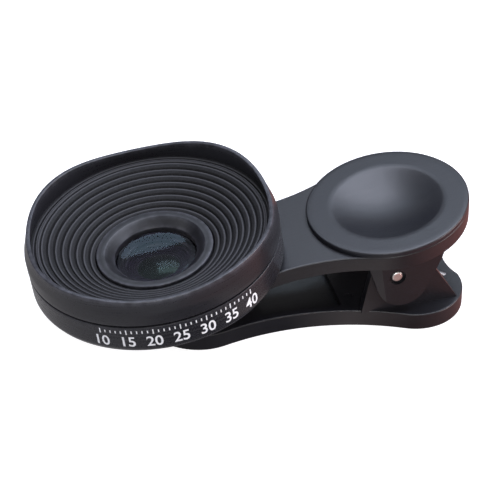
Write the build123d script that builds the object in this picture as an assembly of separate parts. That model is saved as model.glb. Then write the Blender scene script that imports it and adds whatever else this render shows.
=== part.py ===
# Clip on phone lens: a wide angle lens over a macro lens, on a sprung two-jaw clip
# Millimetres, +Z up, +X towards the thumb end; the origin is on the ground under the pivot axis
from build123d import *
from math import acos, atan2, cos, degrees, hypot, pi, radians, sin, sqrt, tan
import os

# Fits between pieces
RUNNING_GAP = 0.06      # radial, round a pin or thread that turns
SEAT_GAP = 0.02         # between faces that seat on each other
LENS_GAP = 0.08         # radial, round a glass in its cell
FIXED_GAP = 0.02        # radial, round a piece pressed into another
EAR_GAP = 0.35          # between the two pairs of ears

FAR = 60.0              # longer than any piece, for cuts that run right through
OVERCUT = 1.0           # cuts run this far past the face they open

# The clip as it stands
JAW_TILT = 8.1          # degrees the upper jaw rises towards the thumb end
PIVOT_HEIGHT = 11.4     # pin axis above the ground
PIN_RADIUS = 1.0
PIN_DIMPLE = 0.35       # depth of the dome at each pin end
PIN_WELL_RADIUS = 1.45
PIN_WELL_DEPTH = 0.6

# Upper jaw, in its own frame: lens axis at x = 0, jaw top at z = 0
LENS_TO_PIVOT = 38.85
PIVOT_DROP = 5.65       # pin axis below the jaw top
PIVOT_TO_THUMB = 2.8    # thumb disc centre beyond the pin
SOCKET_END_RADIUS = 15.0
THUMB_RADIUS = 14.35
WAIST_ARC = 31.0        # radius of the hollow sides
JAW_HEIGHT = 3.1
JAW_WALL = 1.5
JAW_TOP = 1.6           # thickness of the jaw's top plate
JAW_TAPER = 7.0         # degrees the sides lean in
JAW_TOP_ROUND = 0.25
UPPER_EAR_THICKNESS = 1.8
EAR_INSET = 0.375       # ears stay this far inside the jaw's outline
UPPER_EAR_OUTSIDE = 12.9
UPPER_EAR_RADIUS = 4.45  # round lower end
UPPER_EAR_REACH = 6.25  # lowest point below the pin axis
UPPER_EAR_SET_BACK = 0.8  # middle of the round end beyond the pin
EAR_FRONT_LEAN = 10.3   # degrees the front edge leans in towards the foot
EAR_BACK_LEAN = 32.1    # degrees the back edge leans in towards the foot
RIB_COUNT = 3
RIB_START = 18.6        # first rib beyond the lens axis
RIB_SHORT = 0.3         # ribs end above the foot of the skirt
RIB_THICKNESS = 1.0
RIB_PITCH = 4.2

# Thumb cap
CAP_RISE = 0.9          # rim above the jaw top
CAP_SEAM = 0.3          # shadow gap under the rim
CAP_SEAM_DEPTH = 1.0
CAP_FOOT_LAP = 1.0      # foot of the rim runs in under the plug
CAP_PLUG_RADIUS = 12.0
CAP_PLUG_DEPTH = 1.4
CAP_WALL = 1.1
CAP_RIM_ROUND = 0.25
DISH_RADIUS = 9.6
DISH_DEPTH = 2.1
DISH_EDGE_ROUND = 2.5

# Lower jaw
LOWER_THICKNESS = 3.3
LOWER_TIP_RADIUS = 10.0
LOWER_TIP_X = -32.3
LOWER_CORNER_RADIUS = 8.6
LOWER_CORNER_X = 5.6    # middle of each round corner at the thumb end
LOWER_CORNER_Y = 5.6
LOWER_WAIST_ARC = 46.0
NOTCH_HALF_WIDTH = 4.5  # shallow hollow in the middle of the thumb end
NOTCH_DEPTH = 1.1
LOWER_EDGE_ROUND = 0.25
LOWER_EAR_THICKNESS = 1.5
LOWER_EAR_RADIUS = 3.6  # height of the head above the pin
LOWER_EAR_NOSE = 4.1    # head's reach ahead of the pin
LOWER_EAR_FRONT = 5.7   # foot ahead of the pin
LOWER_EAR_BACK = 12.0   # foot behind the pin
LOWER_EAR_SHOULDER = 6.6
LOWER_SHOULDER_RISE = 0.6
TRAY_DEPTH = 1.3
TRAY_RIM = 1.7
TRAY_FRONT_X = -22.5
TRAY_BACK_X = -8.5
MARK_RADIUS = 0.8       # round ejector marks beside the ears
MARK_DEPTH = 0.2
MARK_X = -6.6
MARK_Y = 5.7

# Rubber pads
LOWER_PAD_RADIUS = 7.6
LOWER_PAD_TOP = 7.35    # above the ground
LOWER_PAD_SINK = 0.8
PAD_GROOVES = 5
PAD_GROOVE_WIDTH = 0.8
PAD_GROOVE_DEPTH = 0.6
PAD_EDGE_ROUND = 0.6
UPPER_PAD_INNER = 8.9
UPPER_PAD_OUTER = 12.1
UPPER_PAD_THICKNESS = 1.4

# Lens seat in the jaw
SOCKET_THREAD_RADIUS = 8.5
SOCKET_RING_RADIUS = 10.3
COLLAR_RADIUS = 11.0
COLLAR_SINK = 0.5

# Macro barrel
MACRO_STEP_IN = 0.05    # macro barrel inside the hood's band
MACRO_BOTTOM = 0.45     # underside above the jaw top
MACRO_HEIGHT = 5.5
MACRO_TAPER_HEIGHT = 1.0
MACRO_TAPER = 0.6
MACRO_EDGE_ROUND = 0.5
SEAM_CHAMFER = 0.12     # on each side of the parting line
SEAM_OPEN = 0.2         # height of the shadow groove at the parting line
SEAM_DEPTH = 0.9
MACRO_BORE_CLEAR = 0.25
MACRO_CELL_WALL = 1.0
MACRO_GLASS_EDGE = 0.4
MACRO_GLASS_FRONT_CURVE = 40.0
MACRO_GLASS_BACK_CURVE = 50.0
MACRO_SHELF_Z = -1.75
MACRO_SHELF_THICKNESS = 0.5
MACRO_SHELF_WIDTH = 1.1
MACRO_RETAINER_WIDTH = 0.85

# Wide lens hood
HOOD_RADIUS = 22.05
BAND_HEIGHT = 2.6
HOOD_WALL = 1.1
PETAL_COUNT = 4
PETAL_TURN = -5.5       # degrees the petals stand round from the clip's diagonals
PETAL_STEP_IN = 0.05    # petals inside the band
VALLEY_STEP_IN = 0.75   # edge between the petals inside the band
RIM_WALL = 0.65
RIM_HEIGHT = 2.7        # mean height of the petal edge above the band
PETAL_SWING = 0.45      # rise and fall of the petal edge
HOOD_LIP_HEIGHT = 2.0
HOOD_LIP_OVER_THREAD = 1.1
LIP_CLEARANCE = 0.1     # baffle foot inside the lip
FLANGE_LIFT = 0.25      # thread flange above the hood's underside

# Ridged baffle
RIDGE_COUNT = 8
BAFFLE_MARGIN = 1.64    # last ridge inside the hood's wall
RIDGE_START_GAP = 0.05  # first ridge outside the retainer
RIDGE_START_Z = 4.3
RIDGE_SLOPE = 24.6      # degrees the cone rises outwards
RIDGE_CREST = 0.68      # share of the pitch that stands proud
RIDGE_DEPTH = 0.42
BAFFLE_THICKNESS = 1.0
OUTER_LAND = 0.65       # plain land outside the last ridge
OUTER_LIFT = 0.1        # that land above the ridge line
OUTER_GROOVE = 0.4
OUTER_GROOVE_DEPTH = 0.45
OUTER_GROOVE_LEAN = 0.1

# Wide lens barrel and its glass
THREAD_STEP_IN = 3.55   # screw thread inside the band
THREAD_LENGTH = 3.4
TUBE_RADIUS = 10.0
TUBE_BOTTOM = 0.5
TUBE_RIM = 4.0
REAR_CELL_RADIUS = 7.45
REAR_CELL_BOTTOM = -1.05
REAR_CELL_WALL = 0.85
FRONT_SHELF = 0.4
FRONT_SHELF_RADIUS = 6.0
RETAINER_RADIUS = 10.2
RETAINER_THREAD_RADIUS = 9.5
RETAINER_TOP = 4.8
RETAINER_FLAT = 1.45
RETAINER_MOUTH = 7.14
RETAINER_MOUTH_Z = 3.5
RETAINER_FOOT_Z = 1.85
RETAINER_CLEARANCE = 0.1  # bore floor below the retainer's foot
RETAINER_CHAMFER = 0.15
RETAINER_LIP = 0.6      # mouth wall starts this far above the foot
FRONT_GLASS_RADIUS = 8.5
FRONT_GLASS_APEX = 3.4
FRONT_GLASS_CURVE = 22.0
FRONT_GLASS_EDGE = 0.5
FRONT_GLASS_BACK_CURVE = 14.0
FRONT_GLASS_BACK_RADIUS = 5.8
REAR_GLASS_RADIUS = 6.5
CROWN_CURVE = 15.0
CROWN_EDGE = 0.45
FLINT_THICKNESS = 0.73
FLINT_CURVE = 40.0
CEMENT_LINE = 0.02
REAR_RETAINER_MOUTH = 5.5

# Torsion spring
WIRE_RADIUS = 0.5
COIL_RADIUS = 2.4       # to the middle of the wire
COIL_TURNS = 6
COIL_SPACE = 0.12       # between one turn and the next
LEG_REACH = 12.3        # legs end this far beyond the pin
SPRING_GAP = 0.3        # upper leg below the cap

# Derived sizes
MACRO_RADIUS = HOOD_RADIUS - MACRO_STEP_IN
RIM_RADIUS = HOOD_RADIUS - PETAL_STEP_IN
THREAD_RADIUS = HOOD_RADIUS - THREAD_STEP_IN
HOOD_LIP_RADIUS = THREAD_RADIUS + HOOD_LIP_OVER_THREAD
RIDGE_START = RETAINER_RADIUS + RIDGE_START_GAP
RIDGE_PITCH = (HOOD_RADIUS - HOOD_WALL - BAFFLE_MARGIN - RIDGE_START) / RIDGE_COUNT
COIL_PITCH = 2 * WIRE_RADIUS + COIL_SPACE

# Derived places, upper jaw frame
HOOD_BOTTOM = MACRO_BOTTOM + MACRO_HEIGHT + SEAT_GAP
BAND_TOP = HOOD_BOTTOM + BAND_HEIGHT
THREAD_END = HOOD_BOTTOM - THREAD_LENGTH
THUMB_X = LENS_TO_PIVOT + PIVOT_TO_THUMB
RISE = tan(radians(RIDGE_SLOPE))
TUBE_FLOOR = TUBE_BOTTOM + FRONT_SHELF
SPIGOT_BOTTOM = -JAW_HEIGHT
MACRO_CELL_RADIUS = SOCKET_THREAD_RADIUS - MACRO_CELL_WALL
LOWER_EAR_OUTSIDE = UPPER_EAR_OUTSIDE - UPPER_EAR_THICKNESS - EAR_GAP
JAW_PLACE = (Pos(0, 0, PIVOT_HEIGHT) * Rot(0, -JAW_TILT, 0)
             * Pos(-LENS_TO_PIVOT, 0, PIVOT_DROP))


def turned(points):
    """Solid turned about the lens axis from a closed (radius, height) profile."""
    face = make_face(Polyline(*[(r, 0, z) for r, z in points], close=True))
    return revolve(face, Axis.Z, 360)


def ball_cap(curve, apex, bulge_up):
    """Ball whose surface passes through the axis at apex, bulging up or down."""
    middle = apex - curve if bulge_up else apex + curve
    return Pos(0, 0, middle) * Sphere(curve)


def sag(curve, radius):
    """Depth of a spherical face of this curve over this radius."""
    return curve - sqrt(curve ** 2 - radius ** 2)


def disc(radius, bottom, top):
    """Plain cylinder on the lens axis between two heights."""
    standing = (Align.CENTER, Align.CENTER, Align.MIN)
    return Pos(0, 0, bottom) * Cylinder(radius, top - bottom, align=standing)


def ring(outer, inner, bottom, top):
    """Plain ring on the lens axis between two heights."""
    return disc(outer, bottom, top) - disc(inner, bottom, top)


def hollow_side(x_a, r_a, x_b, y_b, r_b, arc):
    """Side arc curving in between two round ends: its two ends and its middle point."""
    span = hypot(x_b - x_a, y_b)
    along = ((r_a + arc) ** 2 - (r_b + arc) ** 2 + span ** 2) / (2 * span)
    out = sqrt((r_a + arc) ** 2 - along ** 2)
    ux, uy = (x_b - x_a) / span, y_b / span
    cx, cy = x_a + along * ux - out * uy, along * uy + out * ux

    def touch(x, y, r):
        share = r / (r + arc)
        return x + (cx - x) * share, y + (cy - y) * share

    return touch(x_a, 0, r_a), (cx, cy - arc), touch(x_b, y_b, r_b)


def flipped(point):
    """The same point on the other side of the middle plane."""
    return point[0], -point[1]


def upper_outline(inset=0.0):
    """Plan of the upper jaw, two round ends and a waist, drawn in by inset."""
    r_a, r_b = SOCKET_END_RADIUS - inset, THUMB_RADIUS - inset
    start, middle, end = hollow_side(0, r_a, THUMB_X, 0, r_b, WAIST_ARC + inset)
    return make_face([
        ThreePointArc(start, (-r_a, 0), flipped(start)),
        ThreePointArc(flipped(start), flipped(middle), flipped(end)),
        ThreePointArc(flipped(end), (THUMB_X + r_b, 0), end),
        ThreePointArc(end, middle, start),
    ])


def lower_outline(inset=0.0):
    """Plan of the lower jaw: round tip, waist, two wide corners and a shallow notch."""
    r_a, r_b = LOWER_TIP_RADIUS - inset, LOWER_CORNER_RADIUS - inset
    start, middle, end = hollow_side(LOWER_TIP_X, r_a, LOWER_CORNER_X, LOWER_CORNER_Y, r_b,
                                     LOWER_WAIST_ARC + inset)
    reach = sqrt(r_b ** 2 - (LOWER_CORNER_Y - NOTCH_HALF_WIDTH) ** 2)
    lip = (LOWER_CORNER_X + reach, NOTCH_HALF_WIDTH)
    turn = radians(45)
    round_middle = (LOWER_CORNER_X + r_b * sin(turn), LOWER_CORNER_Y + r_b * cos(turn))
    return make_face([
        ThreePointArc(start, (LOWER_TIP_X - r_a, 0), flipped(start)),
        ThreePointArc(flipped(start), flipped(middle), flipped(end)),
        ThreePointArc(flipped(end), flipped(round_middle), flipped(lip)),
        ThreePointArc(flipped(lip), (lip[0] - NOTCH_DEPTH, 0), lip),
        ThreePointArc(lip, round_middle, end),
        ThreePointArc(end, middle, start),
    ])


def across(profile, outside, thickness):
    """Two mirror image plates of an XZ profile, with their outer faces at +-outside."""
    plate = extrude(Plane.XZ * profile, thickness)
    low = min(v.Y for v in plate.vertices())
    near = Pos(0, -outside - low, 0) * plate
    return near, mirror(near, Plane.XZ)


def upper_ear_profile():
    """Side view of an upper ear: leaning front edge, round foot, straight back edge."""
    middle_x = LENS_TO_PIVOT + UPPER_EAR_SET_BACK
    middle_z = -PIVOT_DROP - UPPER_EAR_REACH + UPPER_EAR_RADIUS
    top = -JAW_HEIGHT / 2

    def side(lean, way):
        foot_x = middle_x + way * UPPER_EAR_RADIUS * cos(lean)
        foot_z = middle_z - UPPER_EAR_RADIUS * sin(lean)
        return (foot_x, foot_z), (foot_x + way * (top - foot_z) * tan(lean), top)

    front_foot, front_top = side(radians(EAR_FRONT_LEAN), -1)
    back_foot, back_top = side(radians(EAR_BACK_LEAN), 1)
    lowest = (middle_x, middle_z - UPPER_EAR_RADIUS)
    return make_face([
        Line(front_top, front_foot), ThreePointArc(front_foot, lowest, back_foot),
        Line(back_foot, back_top), Line(back_top, front_top),
    ])


def pin_hole(radius):
    """Round bar along Y at the pin axis, upper jaw frame."""
    return Pos(LENS_TO_PIVOT, 0, -PIVOT_DROP) * Rot(90, 0, 0) * Cylinder(radius, FAR)


def pin_wells():
    """Shallow wells in the outer faces of the upper ears, round the pin ends."""
    well = Rot(90, 0, 0) * Cylinder(PIN_WELL_RADIUS, 2 * PIN_WELL_DEPTH)
    ends = [Pos(LENS_TO_PIVOT, side * UPPER_EAR_OUTSIDE, -PIVOT_DROP) for side in (-1, 1)]
    return ends[0] * well + ends[1] * well


def upper_jaw():
    """Moulded jaw: skirted plate, lens socket bore, cap opening, ribs and ears."""
    body = extrude(upper_outline(), -JAW_HEIGHT, taper=JAW_TAPER)
    rim = body.faces().sort_by(Axis.Z)[-1].edges()
    body = fillet(rim, JAW_TOP_ROUND)
    hollow = extrude(Pos(0, 0, -JAW_TOP) * upper_outline(JAW_WALL), -JAW_HEIGHT)
    hollow = hollow - disc(SOCKET_END_RADIUS, -2 * JAW_HEIGHT, 0)
    body = body - hollow
    for number in range(RIB_COUNT):
        rib_x = RIB_START + number * RIB_PITCH
        rib = Pos(rib_x, 0, -JAW_HEIGHT / 2) * Box(RIB_THICKNESS, 2 * SOCKET_END_RADIUS, JAW_HEIGHT)
        body = body + (rib & hollow & disc(THUMB_X, -JAW_HEIGHT + RIB_SHORT, -JAW_TOP / 2))
    footprint = extrude(upper_outline(EAR_INSET), -2 * (PIVOT_DROP + UPPER_EAR_REACH))
    for ear in across(upper_ear_profile(), UPPER_EAR_OUTSIDE, UPPER_EAR_THICKNESS):
        body = body + (ear & footprint)
    body = body - disc(SOCKET_RING_RADIUS + FIXED_GAP, -2 * JAW_HEIGHT, OVERCUT)
    body = body - disc(COLLAR_RADIUS + LENS_GAP, -COLLAR_SINK, OVERCUT)
    cap_hole = disc(CAP_PLUG_RADIUS + FIXED_GAP, -JAW_TOP - OVERCUT, OVERCUT)
    body = body - Pos(THUMB_X, 0, 0) * cap_hole
    return body - pin_hole(PIN_RADIUS + FIXED_GAP) - pin_wells()


def thumb_cap():
    """Round cap with a soft dish, raised over the jaw on a narrow seam."""
    rim = ring(THUMB_RADIUS, DISH_RADIUS, CAP_SEAM, CAP_RISE)
    plug = disc(CAP_PLUG_RADIUS, -CAP_PLUG_DEPTH, CAP_RISE)
    curve = (DISH_RADIUS ** 2 + DISH_DEPTH ** 2) / (2 * DISH_DEPTH)
    inside, shelf = CAP_PLUG_RADIUS - CAP_WALL, CAP_RISE - CAP_WALL
    bowl = ball_cap(curve + CAP_WALL, shelf - DISH_DEPTH, False)
    body = rim + plug - (disc(inside, -CAP_PLUG_DEPTH, shelf) - bowl)
    body = body + (disc(inside, shelf - DISH_DEPTH, shelf) & bowl)
    body = body - ball_cap(curve, CAP_RISE - DISH_DEPTH, False)
    foot = ring(THUMB_RADIUS - CAP_SEAM_DEPTH, CAP_PLUG_RADIUS - CAP_FOOT_LAP, SEAT_GAP, CAP_SEAM)
    body = body + foot
    lip = body.edges().filter_by(GeomType.CIRCLE).filter_by(
        lambda e: abs(e.center().Z - CAP_RISE) < 0.001)
    body = fillet(lip.sort_by(SortBy.RADIUS)[-1], CAP_RIM_ROUND)
    brim = body.edges().filter_by(GeomType.CIRCLE).filter_by(
        lambda e: abs(e.center().Z - CAP_RISE) < 0.001).sort_by(SortBy.RADIUS)[0]
    body = fillet(brim, DISH_EDGE_ROUND)
    return Pos(THUMB_X, 0, 0) * body


def socket_ring():
    """Metal ring pressed into the jaw, threaded inside for the macro barrel."""
    return ring(SOCKET_RING_RADIUS, SOCKET_THREAD_RADIUS + RUNNING_GAP,
                -JAW_HEIGHT, -COLLAR_SINK - SEAT_GAP)


def upper_pad():
    """Rubber ring under the lens socket."""
    pad = ring(UPPER_PAD_OUTER, UPPER_PAD_INNER, -JAW_HEIGHT - UPPER_PAD_THICKNESS, -JAW_HEIGHT)
    lower = pad.edges().filter_by(GeomType.CIRCLE).group_by(Axis.Z)[0]
    return fillet(lower, PAD_EDGE_ROUND)


def pivot_pin():
    """Plain pin through both pairs of ears, its ends domed inside their wells."""
    length = 2 * (UPPER_EAR_OUTSIDE - PIN_DIMPLE / 2)
    bar = Cylinder(PIN_RADIUS, length)
    bar = fillet(bar.edges().filter_by(GeomType.CIRCLE), PIN_DIMPLE)
    return Pos(LENS_TO_PIVOT, 0, -PIVOT_DROP) * Rot(90, 0, 0) * bar


def lower_ear_profile():
    """Side view of a lower ear: round head at the pin, long sloping back edge."""
    deck = LOWER_THICKNESS - LOWER_EDGE_ROUND
    head = LOWER_EAR_RADIUS
    nose = (-LOWER_EAR_NOSE, PIVOT_HEIGHT)
    shoulder = (LOWER_EAR_SHOULDER, PIVOT_HEIGHT + LOWER_SHOULDER_RISE)
    crown = (0, PIVOT_HEIGHT + head)
    edges = [
        Line((-LOWER_EAR_FRONT, deck), nose),
        ThreePointArc(nose, (-LOWER_EAR_NOSE * sin(pi / 4), PIVOT_HEIGHT + head * cos(pi / 4)), crown),
        TangentArc(crown, shoulder, tangent=(1, 0)),
        Line(shoulder, (LOWER_EAR_BACK, deck)),
        Line((LOWER_EAR_BACK, deck), (-LOWER_EAR_FRONT, deck)),
    ]
    return make_face(edges)


def lower_jaw():
    """Moulded lower jaw: waisted plate with a shallow tray, pad seat and two ears."""
    body = extrude(lower_outline(), LOWER_THICKNESS)
    top = body.faces().sort_by(Axis.Z)[-1].edges()
    bottom = body.faces().sort_by(Axis.Z)[0].edges()
    body = fillet(top + bottom, LOWER_EDGE_ROUND)
    tray = extrude(Pos(0, 0, LOWER_THICKNESS - TRAY_DEPTH) * lower_outline(TRAY_RIM), 2 * TRAY_DEPTH)
    middle = Pos((TRAY_FRONT_X + TRAY_BACK_X) / 2, 0, LOWER_THICKNESS)
    body = body - (tray & middle * Box(TRAY_BACK_X - TRAY_FRONT_X, FAR, 4 * TRAY_DEPTH))
    seat = disc(LOWER_PAD_RADIUS + FIXED_GAP, LOWER_THICKNESS - LOWER_PAD_SINK, 2 * LOWER_THICKNESS)
    body = body - Pos(LOWER_TIP_X, 0, 0) * seat
    mark = disc(MARK_RADIUS, LOWER_THICKNESS - MARK_DEPTH, LOWER_THICKNESS + OVERCUT)
    body = body - Pos(MARK_X, MARK_Y, 0) * mark - Pos(MARK_X, -MARK_Y, 0) * mark
    for ear in across(lower_ear_profile(), LOWER_EAR_OUTSIDE, LOWER_EAR_THICKNESS):
        body = body + ear
    bore = Pos(0, 0, PIVOT_HEIGHT) * Rot(90, 0, 0) * Cylinder(PIN_RADIUS + RUNNING_GAP, FAR)
    return body - bore


def lower_pad():
    """Thick rubber pad with grooves across its top."""
    bottom = LOWER_THICKNESS - LOWER_PAD_SINK + SEAT_GAP
    pad = disc(LOWER_PAD_RADIUS, bottom, LOWER_PAD_TOP)
    pad = fillet(pad.faces().sort_by(Axis.Z)[-1].edges(), PAD_EDGE_ROUND)
    pitch = 2 * LOWER_PAD_RADIUS / (PAD_GROOVES + 1)
    for number in range(PAD_GROOVES):
        along = (number - (PAD_GROOVES - 1) / 2) * pitch
        groove = Box(PAD_GROOVE_WIDTH, 4 * LOWER_PAD_RADIUS, 2 * PAD_GROOVE_DEPTH)
        pad = pad - Pos(along, 0, LOWER_PAD_TOP) * groove
    return Pos(LOWER_TIP_X, 0, 0) * pad


def macro_barrel():
    """Lower lens ring: collar and threaded spigot below, threaded mouth above."""
    top = MACRO_BOTTOM + MACRO_HEIGHT
    mouth = THREAD_RADIUS + RUNNING_GAP
    mouth_floor = THREAD_END - MACRO_BORE_CLEAR
    well = TUBE_RADIUS + MACRO_BORE_CLEAR
    well_floor = TUBE_BOTTOM - MACRO_BORE_CLEAR
    cell = REAR_CELL_RADIUS + RUNNING_GAP
    inner = MACRO_CELL_RADIUS
    shelf = MACRO_CELL_RADIUS - MACRO_SHELF_WIDTH
    body = turned([
        (shelf, MACRO_SHELF_Z + MACRO_SHELF_THICKNESS), (cell, MACRO_SHELF_Z + MACRO_SHELF_THICKNESS),
        (cell, well_floor), (well, well_floor), (well, mouth_floor), (mouth, mouth_floor),
        (mouth, top), (MACRO_RADIUS - SEAM_CHAMFER, top), (MACRO_RADIUS, top - SEAM_CHAMFER),
        (MACRO_RADIUS, MACRO_BOTTOM + MACRO_TAPER_HEIGHT), (MACRO_RADIUS - MACRO_TAPER, MACRO_BOTTOM),
        (COLLAR_RADIUS, MACRO_BOTTOM), (COLLAR_RADIUS, -COLLAR_SINK),
        (SOCKET_THREAD_RADIUS, -COLLAR_SINK), (SOCKET_THREAD_RADIUS, SPIGOT_BOTTOM),
        (inner, SPIGOT_BOTTOM), (inner, MACRO_SHELF_Z), (shelf, MACRO_SHELF_Z),
    ])
    edge = body.edges().filter_by(GeomType.CIRCLE).filter_by(
        lambda e: abs(e.center().Z - MACRO_BOTTOM) < 0.001).sort_by(SortBy.RADIUS)[-1]
    return fillet(edge, MACRO_EDGE_ROUND)


def macro_glass():
    """Thin lens, bulging on both sides, with a narrow flat edge."""
    radius = MACRO_CELL_RADIUS - LENS_GAP
    clear = MACRO_CELL_RADIUS - MACRO_SHELF_WIDTH - LENS_GAP
    edge_top = MACRO_SHELF_Z - SEAT_GAP
    edge_bottom = edge_top - MACRO_GLASS_EDGE
    front = sag(MACRO_GLASS_FRONT_CURVE, clear)
    back = sag(MACRO_GLASS_BACK_CURVE, clear)
    upper = disc(clear, edge_bottom, edge_top + front) & ball_cap(
        MACRO_GLASS_FRONT_CURVE, edge_top + front, True)
    lower = disc(clear, edge_bottom - back, edge_top) & ball_cap(
        MACRO_GLASS_BACK_CURVE, edge_bottom - back, False)
    return disc(radius, edge_bottom, edge_top) + upper + lower


def macro_retainer():
    """Ring that holds the macro glass from behind."""
    outer = MACRO_CELL_RADIUS - FIXED_GAP
    top = MACRO_SHELF_Z - MACRO_GLASS_EDGE - 2 * SEAT_GAP
    return ring(outer, outer - MACRO_RETAINER_WIDTH, SPIGOT_BOTTOM + SEAT_GAP, top)


def petal_cutter():
    """Block whose wavy underside is the hood's edge, a rise over each petal."""
    reach = HOOD_RADIUS + OVERCUT
    mean = BAND_TOP + RIM_HEIGHT
    steps = 12
    rows = []
    for i in range(steps + 1):
        x = reach * (2 * i / steps - 1)
        row = []
        for j in range(steps + 1):
            y = reach * (2 * j / steps - 1)
            wave = ((complex(x, y) / RIM_RADIUS) ** PETAL_COUNT).real
            row.append(Vector(x, y, mean - PETAL_SWING * wave))
        rows.append(row)
    surface = Face.make_surface_from_array_of_points(rows)
    return extrude(surface, FAR, dir=(0, 0, 1))


def petal_face(radius, valley_step, height):
    """Rounded square of this radius at the petals, drawn in by valley_step between them."""
    points = []
    for number in range(4 * PETAL_COUNT):
        angle = 2 * pi * number / (4 * PETAL_COUNT)
        r = radius - valley_step * (1 + cos(PETAL_COUNT * angle)) / 2
        points.append((r * cos(angle), r * sin(angle), height))
    return make_face(Spline(*points, periodic=True))


def petal_wall():
    """Thin wall that goes over from the round band to four petals, cut to its wavy edge."""
    inner = HOOD_RADIUS - HOOD_WALL
    high = BAND_TOP + RIM_HEIGHT + 2 * PETAL_SWING
    valley = VALLEY_STEP_IN * (high - BAND_TOP) / (RIM_HEIGHT - PETAL_SWING)
    outside = loft([Pos(0, 0, BAND_TOP) * Circle(HOOD_RADIUS), petal_face(RIM_RADIUS, valley, high)])
    inside = loft([Pos(0, 0, BAND_TOP) * Circle(inner),
                   petal_face(RIM_RADIUS - RIM_WALL, valley, high)])
    return Rot(0, 0, PETAL_TURN) * (outside - inside - petal_cutter())


def lens_hood():
    """Outer shell of the wide lens: plain band and the petal wall on it."""
    inner = HOOD_RADIUS - HOOD_WALL
    lip_top = HOOD_BOTTOM + HOOD_LIP_HEIGHT
    groove_r, groove_top = HOOD_RADIUS - SEAM_DEPTH, HOOD_BOTTOM + SEAM_OPEN
    band = turned([
        (HOOD_LIP_RADIUS, HOOD_BOTTOM), (groove_r, HOOD_BOTTOM), (groove_r, groove_top),
        (HOOD_RADIUS - SEAM_CHAMFER, groove_top), (HOOD_RADIUS, groove_top + SEAM_CHAMFER),
        (HOOD_RADIUS, BAND_TOP), (inner, BAND_TOP), (inner, lip_top), (HOOD_LIP_RADIUS, lip_top),
    ])
    return band + petal_wall()


def ridge_profile():
    """Top line of the baffle: proud lands between sharp grooves, climbing outwards."""
    points = []
    for number in range(RIDGE_COUNT):
        r = RIDGE_START + number * RIDGE_PITCH
        z = RIDGE_START_Z + number * RIDGE_PITCH * RISE
        cut = (1 - RIDGE_CREST) * RIDGE_PITCH / 2
        points += [
            (r, z - RIDGE_DEPTH), (r + cut, z + cut * RISE),
            (r + RIDGE_PITCH - cut, z + (RIDGE_PITCH - cut) * RISE),
        ]
    return points


def ridge_baffle():
    """Stepped cone round the front glass, ringed against stray light."""
    inner = RETAINER_RADIUS + LENS_GAP
    outer = HOOD_RADIUS - HOOD_WALL - FIXED_GAP
    end_r = RIDGE_START + RIDGE_COUNT * RIDGE_PITCH
    end_z = RIDGE_START_Z + RIDGE_COUNT * RIDGE_PITCH * RISE
    floor = HOOD_BOTTOM + HOOD_LIP_HEIGHT + SEAT_GAP
    top = ridge_profile()
    start = (inner, RIDGE_START_Z - RIDGE_DEPTH)
    land_r = end_r + OUTER_LAND
    land_z = end_z + OUTER_LIFT
    lean = OUTER_GROOVE_LEAN
    rim = [
        (end_r, end_z - RIDGE_DEPTH), (end_r + (1 - RIDGE_CREST) * RIDGE_PITCH / 2, end_z),
        (land_r, land_z), (land_r + lean, land_z - OUTER_GROOVE_DEPTH),
        (land_r + OUTER_GROOVE - lean, land_z - OUTER_GROOVE_DEPTH),
        (land_r + OUTER_GROOVE, land_z), (outer, land_z), (outer, floor),
    ]
    under_r = HOOD_LIP_RADIUS - LIP_CLEARANCE
    under = [(under_r, floor), (under_r, web_top(under_r) + SEAT_GAP),
             (inner, web_top(inner) + SEAT_GAP)]
    return turned([start] + top[1:] + rim + under)


def web_top(radius):
    """Height of the cone that carries the baffle."""
    return RIDGE_START_Z - BAFFLE_THICKNESS + (radius - RIDGE_START) * RISE


def wide_barrel():
    """Inner body of the wide lens: cone web, thread below it and the glass cells."""
    shoulder = HOOD_LIP_RADIUS - FIXED_GAP
    glass = FRONT_GLASS_RADIUS + LENS_GAP
    thread = RETAINER_THREAD_RADIUS + FIXED_GAP
    cell = REAR_CELL_RADIUS - REAR_CELL_WALL
    seat = HOOD_BOTTOM + FLANGE_LIFT
    foot = RETAINER_FOOT_Z - RETAINER_CLEARANCE
    return turned([
        (FRONT_SHELF_RADIUS, TUBE_BOTTOM), (cell, TUBE_BOTTOM), (cell, REAR_CELL_BOTTOM),
        (REAR_CELL_RADIUS, REAR_CELL_BOTTOM), (REAR_CELL_RADIUS, TUBE_BOTTOM),
        (TUBE_RADIUS, TUBE_BOTTOM), (TUBE_RADIUS, THREAD_END), (THREAD_RADIUS, THREAD_END),
        (THREAD_RADIUS, seat), (shoulder, seat), (shoulder, web_top(shoulder)),
        (RETAINER_RADIUS, web_top(RETAINER_RADIUS)), (RETAINER_RADIUS, TUBE_RIM),
        (thread, TUBE_RIM), (thread, foot), (glass, foot), (glass, TUBE_FLOOR),
        (FRONT_SHELF_RADIUS, TUBE_FLOOR),
    ])


def front_retainer():
    """Bright-edged ring over the front glass: flat top, then a cone to its mouth."""
    rest = TUBE_RIM + SEAT_GAP
    brow = RETAINER_RADIUS - RETAINER_FLAT
    return turned([
        (RETAINER_MOUTH, RETAINER_FOOT_Z + RETAINER_LIP), (RETAINER_MOUTH, RETAINER_MOUTH_Z),
        (brow, RETAINER_TOP), (RETAINER_RADIUS - RETAINER_CHAMFER, RETAINER_TOP),
        (RETAINER_RADIUS, RETAINER_TOP - RETAINER_CHAMFER), (RETAINER_RADIUS, rest),
        (RETAINER_THREAD_RADIUS, rest), (RETAINER_THREAD_RADIUS, RETAINER_FOOT_Z),
        (FRONT_GLASS_RADIUS, RETAINER_FOOT_Z),
    ])


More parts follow.
